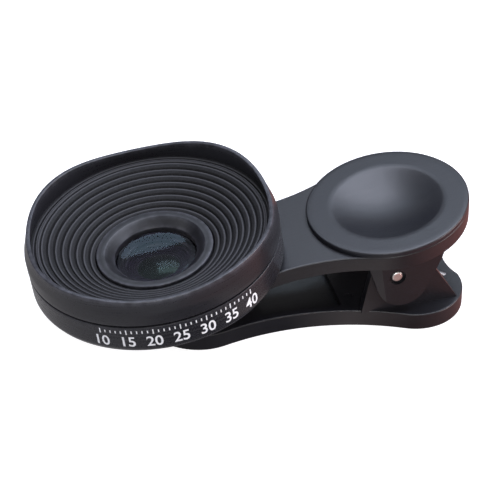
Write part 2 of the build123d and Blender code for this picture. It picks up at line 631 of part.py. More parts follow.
def front_glass():
    """Large front lens: bulging face, hollow back."""
    edge_top = FRONT_GLASS_APEX - sag(FRONT_GLASS_CURVE, FRONT_GLASS_RADIUS)
    edge_bottom = edge_top - FRONT_GLASS_EDGE
    body = disc(FRONT_GLASS_RADIUS, edge_bottom, FRONT_GLASS_APEX)
    body = body & ball_cap(FRONT_GLASS_CURVE, FRONT_GLASS_APEX, True)
    hollow_apex = edge_bottom + sag(FRONT_GLASS_BACK_CURVE, FRONT_GLASS_BACK_RADIUS)
    return body - ball_cap(FRONT_GLASS_BACK_CURVE, hollow_apex, True)


def lens_spacer():
    """Thin black ring under the front glass."""
    bottom = TUBE_FLOOR + SEAT_GAP
    edge = FRONT_GLASS_APEX - sag(FRONT_GLASS_CURVE, FRONT_GLASS_RADIUS) - FRONT_GLASS_EDGE
    return ring(FRONT_GLASS_RADIUS, FRONT_SHELF_RADIUS + LENS_GAP, bottom, edge - SEAT_GAP)


def rear_crown():
    """First half of the cemented rear pair: bulging front, flat back."""
    edge_top = TUBE_BOTTOM - SEAT_GAP
    clear = FRONT_SHELF_RADIUS - LENS_GAP
    bulge = sag(CROWN_CURVE, clear)
    dome = disc(clear, edge_top - CROWN_EDGE, edge_top + bulge) & ball_cap(
        CROWN_CURVE, edge_top + bulge, True)
    return disc(REAR_GLASS_RADIUS, edge_top - CROWN_EDGE, edge_top) + dome


def rear_flint():
    """Second half of the cemented rear pair: flat front, slightly hollow back."""
    top = TUBE_BOTTOM - SEAT_GAP - CROWN_EDGE - CEMENT_LINE
    bottom = top - FLINT_THICKNESS
    hollow = sag(FLINT_CURVE, REAR_RETAINER_MOUTH)
    return disc(REAR_GLASS_RADIUS, bottom, top) - ball_cap(FLINT_CURVE, bottom + hollow, True)


def rear_retainer():
    """Ring that holds the rear pair in its cell."""
    top = TUBE_BOTTOM - 2 * SEAT_GAP - CROWN_EDGE - CEMENT_LINE - FLINT_THICKNESS
    outer = REAR_CELL_RADIUS - REAR_CELL_WALL - FIXED_GAP
    return ring(outer, REAR_RETAINER_MOUTH, REAR_CELL_BOTTOM, top)


def spring_leg_targets():
    """Where the two legs press, measured from the pin axis in X and Z."""
    low = (LEG_REACH, LOWER_THICKNESS + WIRE_RADIUS + SEAT_GAP - PIVOT_HEIGHT)
    cap_under = PIVOT_DROP + CAP_RISE - DISH_DEPTH - CAP_WALL
    tilt = radians(JAW_TILT)
    high = (LEG_REACH, LEG_REACH * tan(tilt) + cap_under / cos(tilt) - WIRE_RADIUS - SPRING_GAP)
    return low, high


def torsion_spring():
    """Coil round the pin, with one leg on the lower jaw and one under the cap."""
    low, high = spring_leg_targets()
    start = atan2(low[1], low[0]) - acos(COIL_RADIUS / hypot(*low))
    finish = atan2(high[1], high[0]) + acos(COIL_RADIUS / hypot(*high)) - 2 * pi * COIL_TURNS
    width = COIL_PITCH * (start - finish) / (2 * pi)
    helix = Helix(COIL_PITCH, width, COIL_RADIUS, lefthand=True)
    coil = Pos(0, width / 2, PIVOT_HEIGHT) * Rot(90, 0, 0) * Rot(0, 0, degrees(start)) * helix
    low_length = sqrt(hypot(*low) ** 2 - COIL_RADIUS ** 2)
    high_length = sqrt(hypot(*high) ** 2 - COIL_RADIUS ** 2)
    low_leg = Line(coil @ 0 - (coil % 0) * low_length, coil @ 0)
    high_leg = Line(coil @ 1, coil @ 1 + (coil % 1) * high_length)
    path = Wire([low_leg, coil, high_leg])
    section = Plane(origin=path @ 0, z_dir=path % 0) * Circle(WIRE_RADIUS)
    return mirror(sweep(section, path), Plane.XZ)


MODEL = {
    "upper_jaw": (upper_jaw, True),
    "thumb_cap": (thumb_cap, True),
    "socket_ring": (socket_ring, True),
    "upper_pad": (upper_pad, True),
    "pivot_pin": (pivot_pin, True),
    "macro_barrel": (macro_barrel, True),
    "macro_glass": (macro_glass, True),
    "macro_retainer": (macro_retainer, True),
    "lens_hood": (lens_hood, True),
    "ridge_baffle": (ridge_baffle, True),
    "wide_barrel": (wide_barrel, True),
    "front_retainer": (front_retainer, True),
    "front_glass": (front_glass, True),
    "lens_spacer": (lens_spacer, True),
    "rear_crown": (rear_crown, True),
    "rear_flint": (rear_flint, True),
    "rear_retainer": (rear_retainer, True),
    "lower_jaw": (lower_jaw, False),
    "lower_pad": (lower_pad, False),
    "torsion_spring": (torsion_spring, False),
}

os.makedirs("parts", exist_ok=True)
for node, (build, on_upper_jaw) in MODEL.items():
    solid = build()
    if on_upper_jaw:
        solid = JAW_PLACE * solid
    export_step(solid, f"parts/{node}.step")
    print(node, round(solid.volume, 2))
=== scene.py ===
# Looks for the clip on phone lens: turned and moulded pieces, glass, light and camera.
import math

import bpy
from mathutils import Matrix, Vector


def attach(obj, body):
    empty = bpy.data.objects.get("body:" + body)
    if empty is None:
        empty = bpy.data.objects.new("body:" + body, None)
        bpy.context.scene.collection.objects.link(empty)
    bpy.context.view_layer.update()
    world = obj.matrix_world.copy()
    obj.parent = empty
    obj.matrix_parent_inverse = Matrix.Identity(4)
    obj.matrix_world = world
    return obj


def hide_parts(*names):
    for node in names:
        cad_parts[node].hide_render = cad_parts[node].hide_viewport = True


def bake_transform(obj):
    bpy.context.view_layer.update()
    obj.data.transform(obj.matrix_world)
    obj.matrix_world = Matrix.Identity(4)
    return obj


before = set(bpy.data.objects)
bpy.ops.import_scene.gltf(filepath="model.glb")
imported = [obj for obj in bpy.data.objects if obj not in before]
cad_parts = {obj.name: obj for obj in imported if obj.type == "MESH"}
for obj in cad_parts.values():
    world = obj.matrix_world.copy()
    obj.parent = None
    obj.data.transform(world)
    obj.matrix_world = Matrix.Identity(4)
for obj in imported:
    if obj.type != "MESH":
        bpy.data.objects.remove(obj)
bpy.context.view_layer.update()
mm = 0.001
print("frame loaded:", len(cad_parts), "nodes")


# An sRGB hex colour as linear red, green, blue and alpha
def srgb(code):
    channels = [int(code[i:i + 2], 16) / 255 for i in (1, 3, 5)]
    return [c / 12.92 if c <= 0.04045 else ((c + 0.055) / 1.055) ** 2.4 for c in channels] + [1.0]


# One node with its settings, values and links
def addNode(tree, kind, inputs=None, **settings):
    node = tree.nodes.new(kind)
    for name, value in settings.items():
        setattr(node, name, value)
    for key, value in (inputs or {}).items():
        if isinstance(value, bpy.types.NodeSocket):
            tree.links.new(value, node.inputs[key])
        else:
            node.inputs[key].default_value = value
    return node


def newMaterial(name):
    material = bpy.data.materials.new(name)
    material.use_nodes = True
    tree = material.node_tree
    tree.nodes.clear()
    output = addNode(tree, "ShaderNodeOutputMaterial")
    return material, tree, output


# Gives a finish to CAD nodes that keep their own shape
def paint(material, *nodeNames):
    for nodeName in nodeNames:
        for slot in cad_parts[nodeName].material_slots:
            slot.material = material


def newTree(name, sizes):
    tree = bpy.data.node_groups.new(name, "GeometryNodeTree")
    for label, kind in sizes.items():
        tree.interface.new_socket(label, in_out="INPUT", socket_type="NodeSocket" + kind)
    tree.interface.new_socket("Geometry", in_out="OUTPUT", socket_type="NodeSocketGeometry")
    return tree


# Every tree ends in real geometry that carries its material
def endTree(tree, geometry, finish):
    real = addNode(tree, "GeometryNodeRealizeInstances", {"Geometry": geometry}).outputs[0]
    done = addNode(tree, "GeometryNodeSetMaterial", {"Geometry": real, "Material": finish}).outputs[0]
    addNode(tree, "NodeGroupOutput", {0: done})
    return tree


# Runs a tree on a start mesh, keeps the result as a plain mesh and drops the modifier
def grown(name, tree, startMesh, values, place=None):
    start = bpy.data.objects.new(name + "Start", startMesh)
    bpy.context.scene.collection.objects.link(start)
    modifier = start.modifiers.new("grow", "NODES")
    modifier.node_group = tree
    for item in tree.interface.items_tree:
        if item.in_out == "INPUT" and item.name in values:
            modifier[item.identifier] = values[item.name]
    evaluated = start.evaluated_get(bpy.context.evaluated_depsgraph_get())
    mesh = bpy.data.meshes.new_from_object(evaluated)
    start.modifiers.remove(modifier)
    bpy.data.objects.remove(start)
    if place:
        mesh.transform(place)
    mesh.name = name
    piece = bpy.data.objects.new(name, mesh)
    bpy.context.scene.collection.objects.link(piece)
    return piece


# The lens axis leans with the upper jaw; its foot is on the axis, level with the top of the jaw
lensFoot = Vector((-39.258, 0, 11.520)) * mm
jawTilt = math.radians(8.1)
onLensAxis = Matrix.Translation(lensFoot) @ Matrix.Rotation(-jawTilt, 4, "Y")


# A pale floor that keeps the shadow; glossy rays see what the satin skins mirror in the photograph
def addFloor():
    bpy.ops.mesh.primitive_plane_add(size=stage["floorSize"], location=(0, 0, 0))
    floor = bpy.context.object
    floor.name = "floor"
    material, tree, output = newMaterial("paleFloor")
    path = addNode(tree, "ShaderNodeLightPath").outputs
    seen = addNode(tree, "ShaderNodeMath", {
        0: path["Is Camera Ray"], 1: path["Is Transmission Ray"]}, operation="MAXIMUM")
    matt = addNode(tree, "ShaderNodeBsdfDiffuse", {"Color": srgb(stage["floorColour"])})
    glow = addNode(tree, "ShaderNodeEmission", {
        "Color": srgb("#ffffff"), "Strength": stage["floorGlow"]})
    both = addNode(tree, "ShaderNodeAddShader", {0: matt.outputs[0], 1: glow.outputs[0]})
    plain = addNode(tree, "ShaderNodeMixShader", {
        0: seen.outputs[0], 1: matt.outputs[0], 2: both.outputs[0]})
    # a painted reflection for glossy rays, from left to right: pale, painted shade under the lens, then
    # a warm painted glow under the jaws
    place = addNode(tree, "ShaderNodeTexCoord").outputs["Object"]
    along = addNode(tree, "ShaderNodeSeparateXYZ", {0: place}).outputs[0]
    first, last = stage["floorReflectionPaint"][0][0], stage["floorReflectionPaint"][-1][0]
    share = addNode(tree, "ShaderNodeMapRange", {0: along, 1: first, 2: last}).outputs[0]
    ramp = addNode(tree, "ShaderNodeValToRGB", {0: share})
    points = ramp.color_ramp.elements
    for order, (spot, colour) in enumerate(stage["floorReflectionPaint"]):
        at = (spot - first) / (last - first)
        point = points[order] if order < 2 else points.new(at)   # a ramp starts with two points
        point.position, point.color = at, srgb(colour)
    slant = addNode(tree, "ShaderNodeVectorMath", {
        0: place, 1: stage["glowWay"]}, operation="DOT_PRODUCT")
    (far, farGlow), (near, nearGlow) = stage["reflectionPaintGlow"]
    glowHere = addNode(tree, "ShaderNodeMapRange", {
        0: slant.outputs["Value"], 1: far, 2: near, 3: farGlow, 4: nearGlow}).outputs[0]
    paintedFloorReflection = addNode(tree, "ShaderNodeEmission", {"Color": ramp.outputs[0], "Strength": glowHere})
    mixed = addNode(tree, "ShaderNodeMixShader", {
        0: path["Is Glossy Ray"], 1: plain.outputs[0], 2: paintedFloorReflection.outputs[0]})
    tree.links.new(mixed.outputs[0], output.inputs[0])
    floor.data.materials.append(material)


# A pale room; the camera and the glass see it as white, the skins as a share of white
def addRoom():
    world = bpy.data.worlds.new("paleRoom")
    bpy.context.scene.world = world
    world.use_nodes = True
    tree = world.node_tree
    tree.nodes.clear()
    path = addNode(tree, "ShaderNodeLightPath")
    glossy = addNode(tree, "ShaderNodeMath", {
        0: path.outputs["Is Glossy Ray"], 1: stage["glossyShare"]}, operation="MULTIPLY")
    seen = addNode(tree, "ShaderNodeMath", {
        0: path.outputs["Is Camera Ray"], 1: glossy.outputs[0]}, operation="MAXIMUM")
    seen = addNode(tree, "ShaderNodeMath", {
        0: seen.outputs[0], 1: path.outputs["Is Transmission Ray"]}, operation="MAXIMUM")
    room = addNode(tree, "ShaderNodeBackground", {
        "Color": srgb(stage["roomColour"]), "Strength": stage["roomStrength"]})
    white = addNode(tree, "ShaderNodeBackground", {"Color": srgb("#ffffff"), "Strength": 1.0})
    mixed = addNode(tree, "ShaderNodeMixShader", {
        0: seen.outputs[0], 1: room.outputs[0], 2: white.outputs[0]})
    addNode(tree, "ShaderNodeOutputWorld", {0: mixed.outputs[0]})


def addSoftbox(name, spot, aim, size, power, colour):
    data = bpy.data.lights.new(name, "AREA")
    data.shape = "RECTANGLE"
    data.size, data.size_y = size
    data.energy = power
    data.color = srgb(colour)[:3]
    lamp = bpy.data.objects.new(name, data)
    bpy.context.scene.collection.objects.link(lamp)
    lamp.location = spot
    lamp.visible_transmission = False
    lamp.rotation_euler = (Vector(aim) - Vector(spot)).to_track_quat("-Z", "Y").to_euler()


# A card as a photographer sets it round a black object, seen only by reflections or through glass
def addCard(name, spot, aim, size, colour, glow, throughGlass=False):
    bpy.ops.mesh.primitive_plane_add(size=1.0)
    card = bpy.context.object
    card.name = name
    turn = (Vector(aim) - Vector(spot)).to_track_quat("-Z", "Y").to_matrix().to_4x4()
    card.data.transform(Matrix.Translation(Vector(spot)) @ turn @ Matrix.Diagonal((*size, 1, 1)))
    material, tree, output = newMaterial(name)
    light = addNode(tree, "ShaderNodeEmission", {"Color": srgb(colour), "Strength": glow})
    tree.links.new(light.outputs[0], output.inputs[0])
    card.data.materials.append(material)
    card.visible_camera = card.visible_shadow = card.visible_diffuse = False
    card.visible_transmission = throughGlass
    card.visible_glossy = not throughGlass


def addCamera():
    data = bpy.data.cameras.new("photoCamera")
    data.sensor_fit = "HORIZONTAL"
    data.angle = 2 * math.atan(stage["cameraHalfWidth"])
    data.clip_start, data.clip_end = 0.01, 10
    camera = bpy.data.objects.new("photoCamera", data)
    bpy.context.scene.collection.objects.link(camera)
    forward = Vector(stage["cameraForward"]).normalized()
    right = Vector(stage["cameraRight"]).normalized()
    up = right.cross(forward)
    camera.matrix_world = Matrix.Translation(Vector(stage["cameraSpot"])) @ Matrix(
        (right, up, -forward)).transposed().to_4x4()
    bpy.context.scene.camera = camera
    bpy.context.scene.view_settings.view_transform = "Standard"


stage = {
    "floorSize": 3.0, "floorColour": "#bfbfc2", "floorGlow": 0.85,
    "roomColour": "#e8eaee", "roomStrength": 0.3, "glossyShare": 0.25,
    # colours of the painted floor reflection that glossy rays see, with painted shade under the lens
    "floorReflectionPaint": (   # place along X in metres, colour
        (-0.075, "#c8c6ca"), (-0.056, "#c0bec2"), (-0.045, "#868488"), (-0.035, "#68666a"),
        (-0.018, "#56545a"), (-0.008, "#dccecc"), (0.002, "#7e625e"), (0.022, "#cc8a84"),
        (0.09, "#c0605a")),
    "reflectionPaintGlow": ((-0.06, 0.8), (-0.03, 1.2)), "glowWay": (0.7, -0.7, 0),
    # the photograph's view; the half width is the picture's, over its distance
    "cameraSpot": (-0.1125, -0.3342, 0.2771), "cameraForward": (0.2056, 0.7672, -0.6075),
    "cameraRight": (0.9659, -0.2588, 0), "cameraHalfWidth": 0.1,
    # place, aim, size, then power and colour, or for a card colour and glow
    "softboxes": {
        "overheadBox": ((0.12, 0.08, 0.42), (0.12, 0.08, 0), (0.42, 0.42), 3.4, "#e6ecff"),
        "leftBox": ((-0.4, 0.05, 0.3), (-0.03, 0, 0.01), (0.1, 0.3), 0.25, "#f4f6ff"),
        "frontBox": ((-0.15, -0.5, 0.35), (-0.01, 0, 0.01), (0.3, 0.3), 1.6, "#f6f4f4"),
        "rightBox": ((0.3, -0.12, 0.06), (0, 0, 0.01), (0.3, 0.1), 0.9, "#fff0ee"),
    },
    "cards": {
        "innerWindow": ((0.06, 0.21, 0.42), (0.06, 0.21, 0), (0.3, 0.18), "#f4fff8", 9.0, True),
        "backStrip": ((0.13, 0.405, 0.42), (0.13, 0.405, 0), (0.5, 0.096), "#d2e4f8", 3.9),
        "backFlag": ((0.1, 0.7, 0.16), (0, 0, 0.01), (1.6, 0.3), "#0a0a0b", 1.0),
        "leftFlag": ((-0.5, 0.3, 0.2), (0, 0, 0.01), (0.8, 0.6), "#0a0a0b", 1.0),
    },
}
addFloor()
addRoom()
for name, (spot, aim, size, power, colour) in stage["softboxes"].items():
    addSoftbox(name, spot, aim, size, power, colour)
for name, card in stage["cards"].items():
    addCard(name, *card)
addCamera()
print("floor, light and camera set")


# Black ABS, moulded in a spark-eroded tool: a soft sheen broken by a very fine even grain
def mouldedAbs(name, finish):
    material, tree, output = newMaterial(name)
    place = addNode(tree, "ShaderNodeTexCoord").outputs["Object"]
    grain = addNode(tree, "ShaderNodeTexNoise", {
        "Vector": place, "Scale": 1 / (finish["grainSize"] * mm), "Detail": 2.0, "Roughness": 0.6})
    drawn = addNode(tree, "ShaderNodeMapping", {"Vector": place, "Scale": finish["flowStretch"]})
    flow = addNode(tree, "ShaderNodeTexNoise", {
        "Vector": drawn.outputs[0], "Scale": 1 / (finish["flowWidth"] * mm), "Detail": 3.0})
    cloud = addNode(tree, "ShaderNodeTexNoise", {
        "Vector": place, "Scale": 1 / (finish["cloudSize"] * mm), "Detail": 3.0})
    tone = addNode(tree, "ShaderNodeMix", {
        0: cloud.outputs["Fac"], 6: srgb(finish["colour"]), 7: srgb(finish["paleTone"])}, data_type="RGBA")
    uneven = addNode(tree, "ShaderNodeMath", {
        0: grain.outputs["Fac"], 1: flow.outputs["Fac"]}, operation="ADD")
    shine = addNode(tree, "ShaderNodeMapRange", {
        "Value": uneven.outputs[0], "From Min": 0.7, "From Max": 1.3,
        "To Min": finish["roughness"] - 0.05, "To Max": finish["roughness"] + 0.06})
    bump = addNode(tree, "ShaderNodeBump", {
        "Height": uneven.outputs[0], "Strength": finish["grainDepth"], "Distance": 0.02 * mm})
    shader = addNode(tree, "ShaderNodeBsdfPrincipled", {
        "Base Color": tone.outputs[2], "Roughness": shine.outputs[0], "Normal": bump.outputs[0],
        "IOR": 1.53, "Specular IOR Level": finish["specular"]})
    tree.links.new(shader.outputs[0], output.inputs[0])
    return material


# sizes in mm; the real grain is near 0.1, too fine to show, so it is drawn coarser
clipFinish = {
    "colour": "#141418", "paleTone": "#19191e", "roughness": 0.38, "specular": 0.45,
    "grainSize": 0.25, "grainDepth": 0.7, "cloudSize": 9.0,
    "flowWidth": 0.5, "flowStretch": (0.12, 1, 1),   # faint flow lines along the clip
}
capFinish = dict(clipFinish, colour="#14151a", paleTone="#1a1b21", roughness=0.36)
paint(mouldedAbs("blackAbsMoulded", clipFinish), "upper_jaw", "lower_jaw")
capPlastic = mouldedAbs("blackAbsMouldedCap", capFinish)


# Black anodised aluminium, turned: satin skin, hairline rings from the lathe tool, edges paler from
# wear and a painted highlight
def anodised(name, finish):
    material, tree, output = newMaterial(name)
    place = addNode(tree, "ShaderNodeTexCoord").outputs["Object"]
    local = addNode(tree, "ShaderNodeMapping", {
        "Vector": place, "Location": lensFoot, "Rotation": (0, -jawTilt, 0)}, vector_type="TEXTURE")
    axes = addNode(tree, "ShaderNodeSeparateXYZ", {0: local.outputs[0]})
    flat = addNode(tree, "ShaderNodeCombineXYZ", {0: axes.outputs[0], 1: axes.outputs[1]})
    radius = addNode(tree, "ShaderNodeVectorMath", {0: flat.outputs[0]}, operation="LENGTH")
    profile = addNode(tree, "ShaderNodeCombineXYZ", {0: radius.outputs["Value"], 1: axes.outputs[2]})
    rings = addNode(tree, "ShaderNodeTexNoise", {
        "Vector": profile.outputs[0], "Scale": 1 / (finish["toolPitch"] * mm), "Detail": 2.0})
    grain = addNode(tree, "ShaderNodeTexNoise", {
        "Vector": place, "Scale": 1 / (finish["grainSize"] * mm), "Detail": 2.0})
    uneven = addNode(tree, "ShaderNodeMath", {
        0: rings.outputs["Fac"], 1: grain.outputs["Fac"]}, operation="ADD")
    bump = addNode(tree, "ShaderNodeBump", {
        "Height": uneven.outputs[0], "Strength": finish["depth"], "Distance": 0.01 * mm})
    shine = addNode(tree, "ShaderNodeMapRange", {
        "Value": uneven.outputs[0], "From Min": 0.7, "From Max": 1.3,
        "To Min": finish["roughness"] - 0.04, "To Max": finish["roughness"] + 0.05})
    # the edge mark lightens edges: partly wear, partly a painted highlight line
    edge = addNode(tree, "ShaderNodeAttribute", attribute_name="edgeWearAndHighlight")
    patch = addNode(tree, "ShaderNodeTexNoise", {
        "Vector": place, "Scale": 1 / (finish["patchSize"] * mm), "Detail": 4.0})
    patchy = addNode(tree, "ShaderNodeMapRange", {
        "Value": patch.outputs["Fac"],
        "From Min": 0.35, "From Max": 0.7, "To Min": 0.25, "To Max": 1.0})
    wearAndHighlight = addNode(tree, "ShaderNodeMath", {
        0: edge.outputs["Fac"], 1: patchy.outputs[0]}, operation="MULTIPLY")
    tone = addNode(tree, "ShaderNodeMix", {
        0: wearAndHighlight.outputs[0], 6: srgb(finish["colour"]), 7: srgb(finish["paleTone"])}, data_type="RGBA")
    shader = addNode(tree, "ShaderNodeBsdfPrincipled", {
        "Base Color": tone.outputs[2], "Roughness": shine.outputs[0], "Normal": bump.outputs[0],
        "IOR": 1.6, "Specular IOR Level": finish["specular"]})
    tree.links.new(shader.outputs[0], output.inputs[0])
    return material


# sizes in mm; the real tool pitch is near 0.1, drawn coarser so that the rings show
# the pale edge tone is partly wear and partly a painted edge highlight
hoodFinish = {
    "colour": "#202024", "paleTone": "#46464c", "roughness": 0.3, "specular": 0.26,
    "toolPitch": 0.35, "grainSize": 0.15, "depth": 0.25, "patchSize": 1.3,
}
hoodMetal = anodised("blackAnodisedHood", hoodFinish)
macroMetal = anodised("blackAnodisedMacro", dict(hoodFinish, roughness=0.27))
barrelMetal = anodised("blackAnodisedBarrel", dict(
    hoodFinish, colour="#0f0f11", roughness=0.45, depth=0.4))
retainerMetal = anodised("blackAnodisedRetainer", dict(hoodFinish, colour="#151518", roughness=0.36))
# the spacer's purple edge colour is a painted highlight on its step edges
spacerMetal = anodised("blackSpacerPaintedEdgeHighlight", dict(
    hoodFinish, colour="#09070b", paleTone="#443c4c", roughness=0.3, specular=0.1))
paint(retainerMetal, "macro_retainer", "rear_retainer")


# Matt black polycarbonate, moulded: dead flat lands with a fine even stipple, edges a little lighter as
# a painted highlight
def mattBaffle(finish):
    material, tree, output = newMaterial("mattBlackPolycarbonate")
    place = addNode(tree, "ShaderNodeTexCoord").outputs["Object"]
    stipple = addNode(tree, "ShaderNodeTexNoise", {
        "Vector": place, "Scale": 1 / (finish["stippleSize"] * mm), "Detail": 3.0, "Roughness": 0.7})
    bump = addNode(tree, "ShaderNodeBump", {
        "Height": stipple.outputs["Fac"], "Strength": finish["depth"], "Distance": 0.05 * mm})
    speck = addNode(tree, "ShaderNodeMapRange", {
        "Value": stipple.outputs["Fac"],
        "From Min": 0.35, "From Max": 0.75, "To Min": 0.0, "To Max": finish["speckle"]})
    # lighter ridge edges: a painted highlight
    edge = addNode(tree, "ShaderNodeAttribute", attribute_name="edgeWearAndHighlight")
    paler = addNode(tree, "ShaderNodeMath", {
        0: speck.outputs[0], 1: edge.outputs["Fac"]}, operation="MAXIMUM")
    tone = addNode(tree, "ShaderNodeMix", {
        0: paler.outputs[0], 6: srgb(finish["colour"]), 7: srgb(finish["edge"])}, data_type="RGBA")
    shader = addNode(tree, "ShaderNodeBsdfPrincipled", {
        "Base Color": tone.outputs[2], "Roughness": 0.6, "Normal": bump.outputs[0],
        "IOR": 1.5, "Specular IOR Level": finish["specular"]})
    tree.links.new(shader.outputs[0], output.inputs[0])
    return material


# the real stipple is near 0.1 mm, drawn coarser so that it shows
bafflePlastic = mattBaffle({
    "colour": "#121213", "edge": "#464649", "speckle": 0.32, "stippleSize": 0.3, "depth": 1.2,
    "specular": 0.15})


# Silicone rubber, moulded: dull, with a bloom of pale dust in its low places
def rubber(finish):
    material, tree, output = newMaterial("blackSiliconeRubber")
    place = addNode(tree, "ShaderNodeTexCoord").outputs["Object"]
    grain = addNode(tree, "ShaderNodeTexNoise", {
        "Vector": place, "Scale": 1 / (finish["grainSize"] * mm), "Detail": 4.0})
    dust = addNode(tree, "ShaderNodeTexNoise", {
        "Vector": place, "Scale": 1 / (finish["dustSize"] * mm), "Detail": 5.0})
    tone = addNode(tree, "ShaderNodeMix", {
        0: dust.outputs["Fac"], 6: srgb(finish["colour"]), 7: srgb(finish["dust"])}, data_type="RGBA")
    bump = addNode(tree, "ShaderNodeBump", {
        "Height": grain.outputs["Fac"], "Strength": 0.5, "Distance": 0.03 * mm})
    shader = addNode(tree, "ShaderNodeBsdfPrincipled", {
        "Base Color": tone.outputs[2], "Roughness": 0.78, "Normal": bump.outputs[0], "IOR": 1.41})
    tree.links.new(shader.outputs[0], output.inputs[0])
    return material


paint(rubber({"colour": "#141415", "dust": "#242425", "grainSize": 0.4, "dustSize": 3.0}),
      "lower_pad", "upper_pad")


# Drawn or turned bare metal: fine lines left by the die or the tool
def bareMetal(name, finish):
    material, tree, output = newMaterial(name)
    place = addNode(tree, "ShaderNodeTexCoord").outputs["Object"]
    along = addNode(tree, "ShaderNodeMapping", {"Vector": place, "Scale": finish["stretch"]})
    lines = addNode(tree, "ShaderNodeTexNoise", {
        "Vector": along.outputs[0], "Scale": 1 / (finish["lineWidth"] * mm), "Detail": 3.0})
    tone = addNode(tree, "ShaderNodeMix", {
        0: lines.outputs["Fac"],
        6: srgb(finish["colour"]), 7: srgb(finish["tarnish"])}, data_type="RGBA")
    shine = addNode(tree, "ShaderNodeMapRange", {
        "Value": lines.outputs["Fac"], "From Min": 0.3, "From Max": 0.7,
        "To Min": finish["roughness"] - 0.06, "To Max": finish["roughness"] + 0.1})
    bump = addNode(tree, "ShaderNodeBump", {
        "Height": lines.outputs["Fac"], "Strength": 0.3, "Distance": 0.02 * mm})
    shader = addNode(tree, "ShaderNodeBsdfPrincipled", {
        "Base Color": tone.outputs[2], "Metallic": 1.0, "Roughness": shine.outputs[0],
        "Normal": bump.outputs[0]})
    tree.links.new(shader.outputs[0], output.inputs[0])
    return material


# the real lines are near 0.05 mm wide, drawn wider so that they show
steelFinish = {
    "colour": "#f4f0ee", "tarnish": "#d0cccb", "roughness": 0.4, "lineWidth": 0.25,
    "stretch": (1, 0.1, 1),
}
paint(bareMetal("stainlessBarDrawn", steelFinish), "pivot_pin")
springSteel = bareMetal("springWireDrawn", dict(
    steelFinish, colour="#b4b6ba", tarnish="#7f8186", stretch=(1, 1, 1)))
socketBrass = bareMetal("brassTurned", dict(
    steelFinish, colour="#c9ad72", tarnish="#8f7643", stretch=(1, 1, 1)))
paint(socketBrass, "socket_ring")


# Optical glass with vacuum-laid coats: clear, its reflections tinted; the deeper glasses get a dark
# body colour, a painted shade for the dark well they sit in
def coatedGlass(name, finish):
    material, tree, output = newMaterial(name)
    place = addNode(tree, "ShaderNodeTexCoord").outputs["Object"]
    haze = addNode(tree, "ShaderNodeTexNoise", {
        "Vector": place, "Scale": 1 / (finish["hazeSize"] * mm), "Detail": 3.0})
    tone = addNode(tree, "ShaderNodeMix", {
        0: haze.outputs["Fac"], 6: srgb(finish["body"]), 7: srgb(finish["haze"])}, data_type="RGBA")
    shader = addNode(tree, "ShaderNodeBsdfPrincipled", {
        "Base Color": tone.outputs[2], "Roughness": finish["roughness"], "IOR": finish["ior"],
        "Transmission Weight": finish["clear"], "Specular IOR Level": finish["shine"],
        "Specular Tint": srgb(finish["coat"])})
    tree.links.new(shader.outputs[0], output.inputs[0])
    return material


# a coat changes how much a lens shines, so the index set here isn't the bare glass's own 1.5 or so
lensFinish = {
    "body": "#a4a2ac", "haze": "#9c9aa4", "coat": "#9fc0d0", "ior": 1.3, "clear": 1.0, "shine": 1.0,
    "hazeSize": 2.5, "roughness": 0.055,
}
frontCoat = coatedGlass("coatedCrownFront", lensFinish)
# the rear and macro glasses' dark body colours are painted shade for the dark inside of the lens
rearCoat = coatedGlass("coatedCrownRear", dict(
    lensFinish, body="#242a28", haze="#1f2422", coat="#b4e4cc", ior=1.6, clear=0.85))
flintCoat = coatedGlass("coatedFlintRear", dict(
    lensFinish, body="#24222c", haze="#201e27", coat="#b79ae0", clear=0.7, shine=0.5))
macroCoat = coatedGlass("coatedMacro", dict(
    lensFinish, body="#4c5450", haze="#444c48", coat="#9ad0a8", ior=1.25, clear=0.9, shine=0.5))
paint(flintCoat, "rear_flint")
paint(macroCoat, "macro_glass")
print("materials laid")


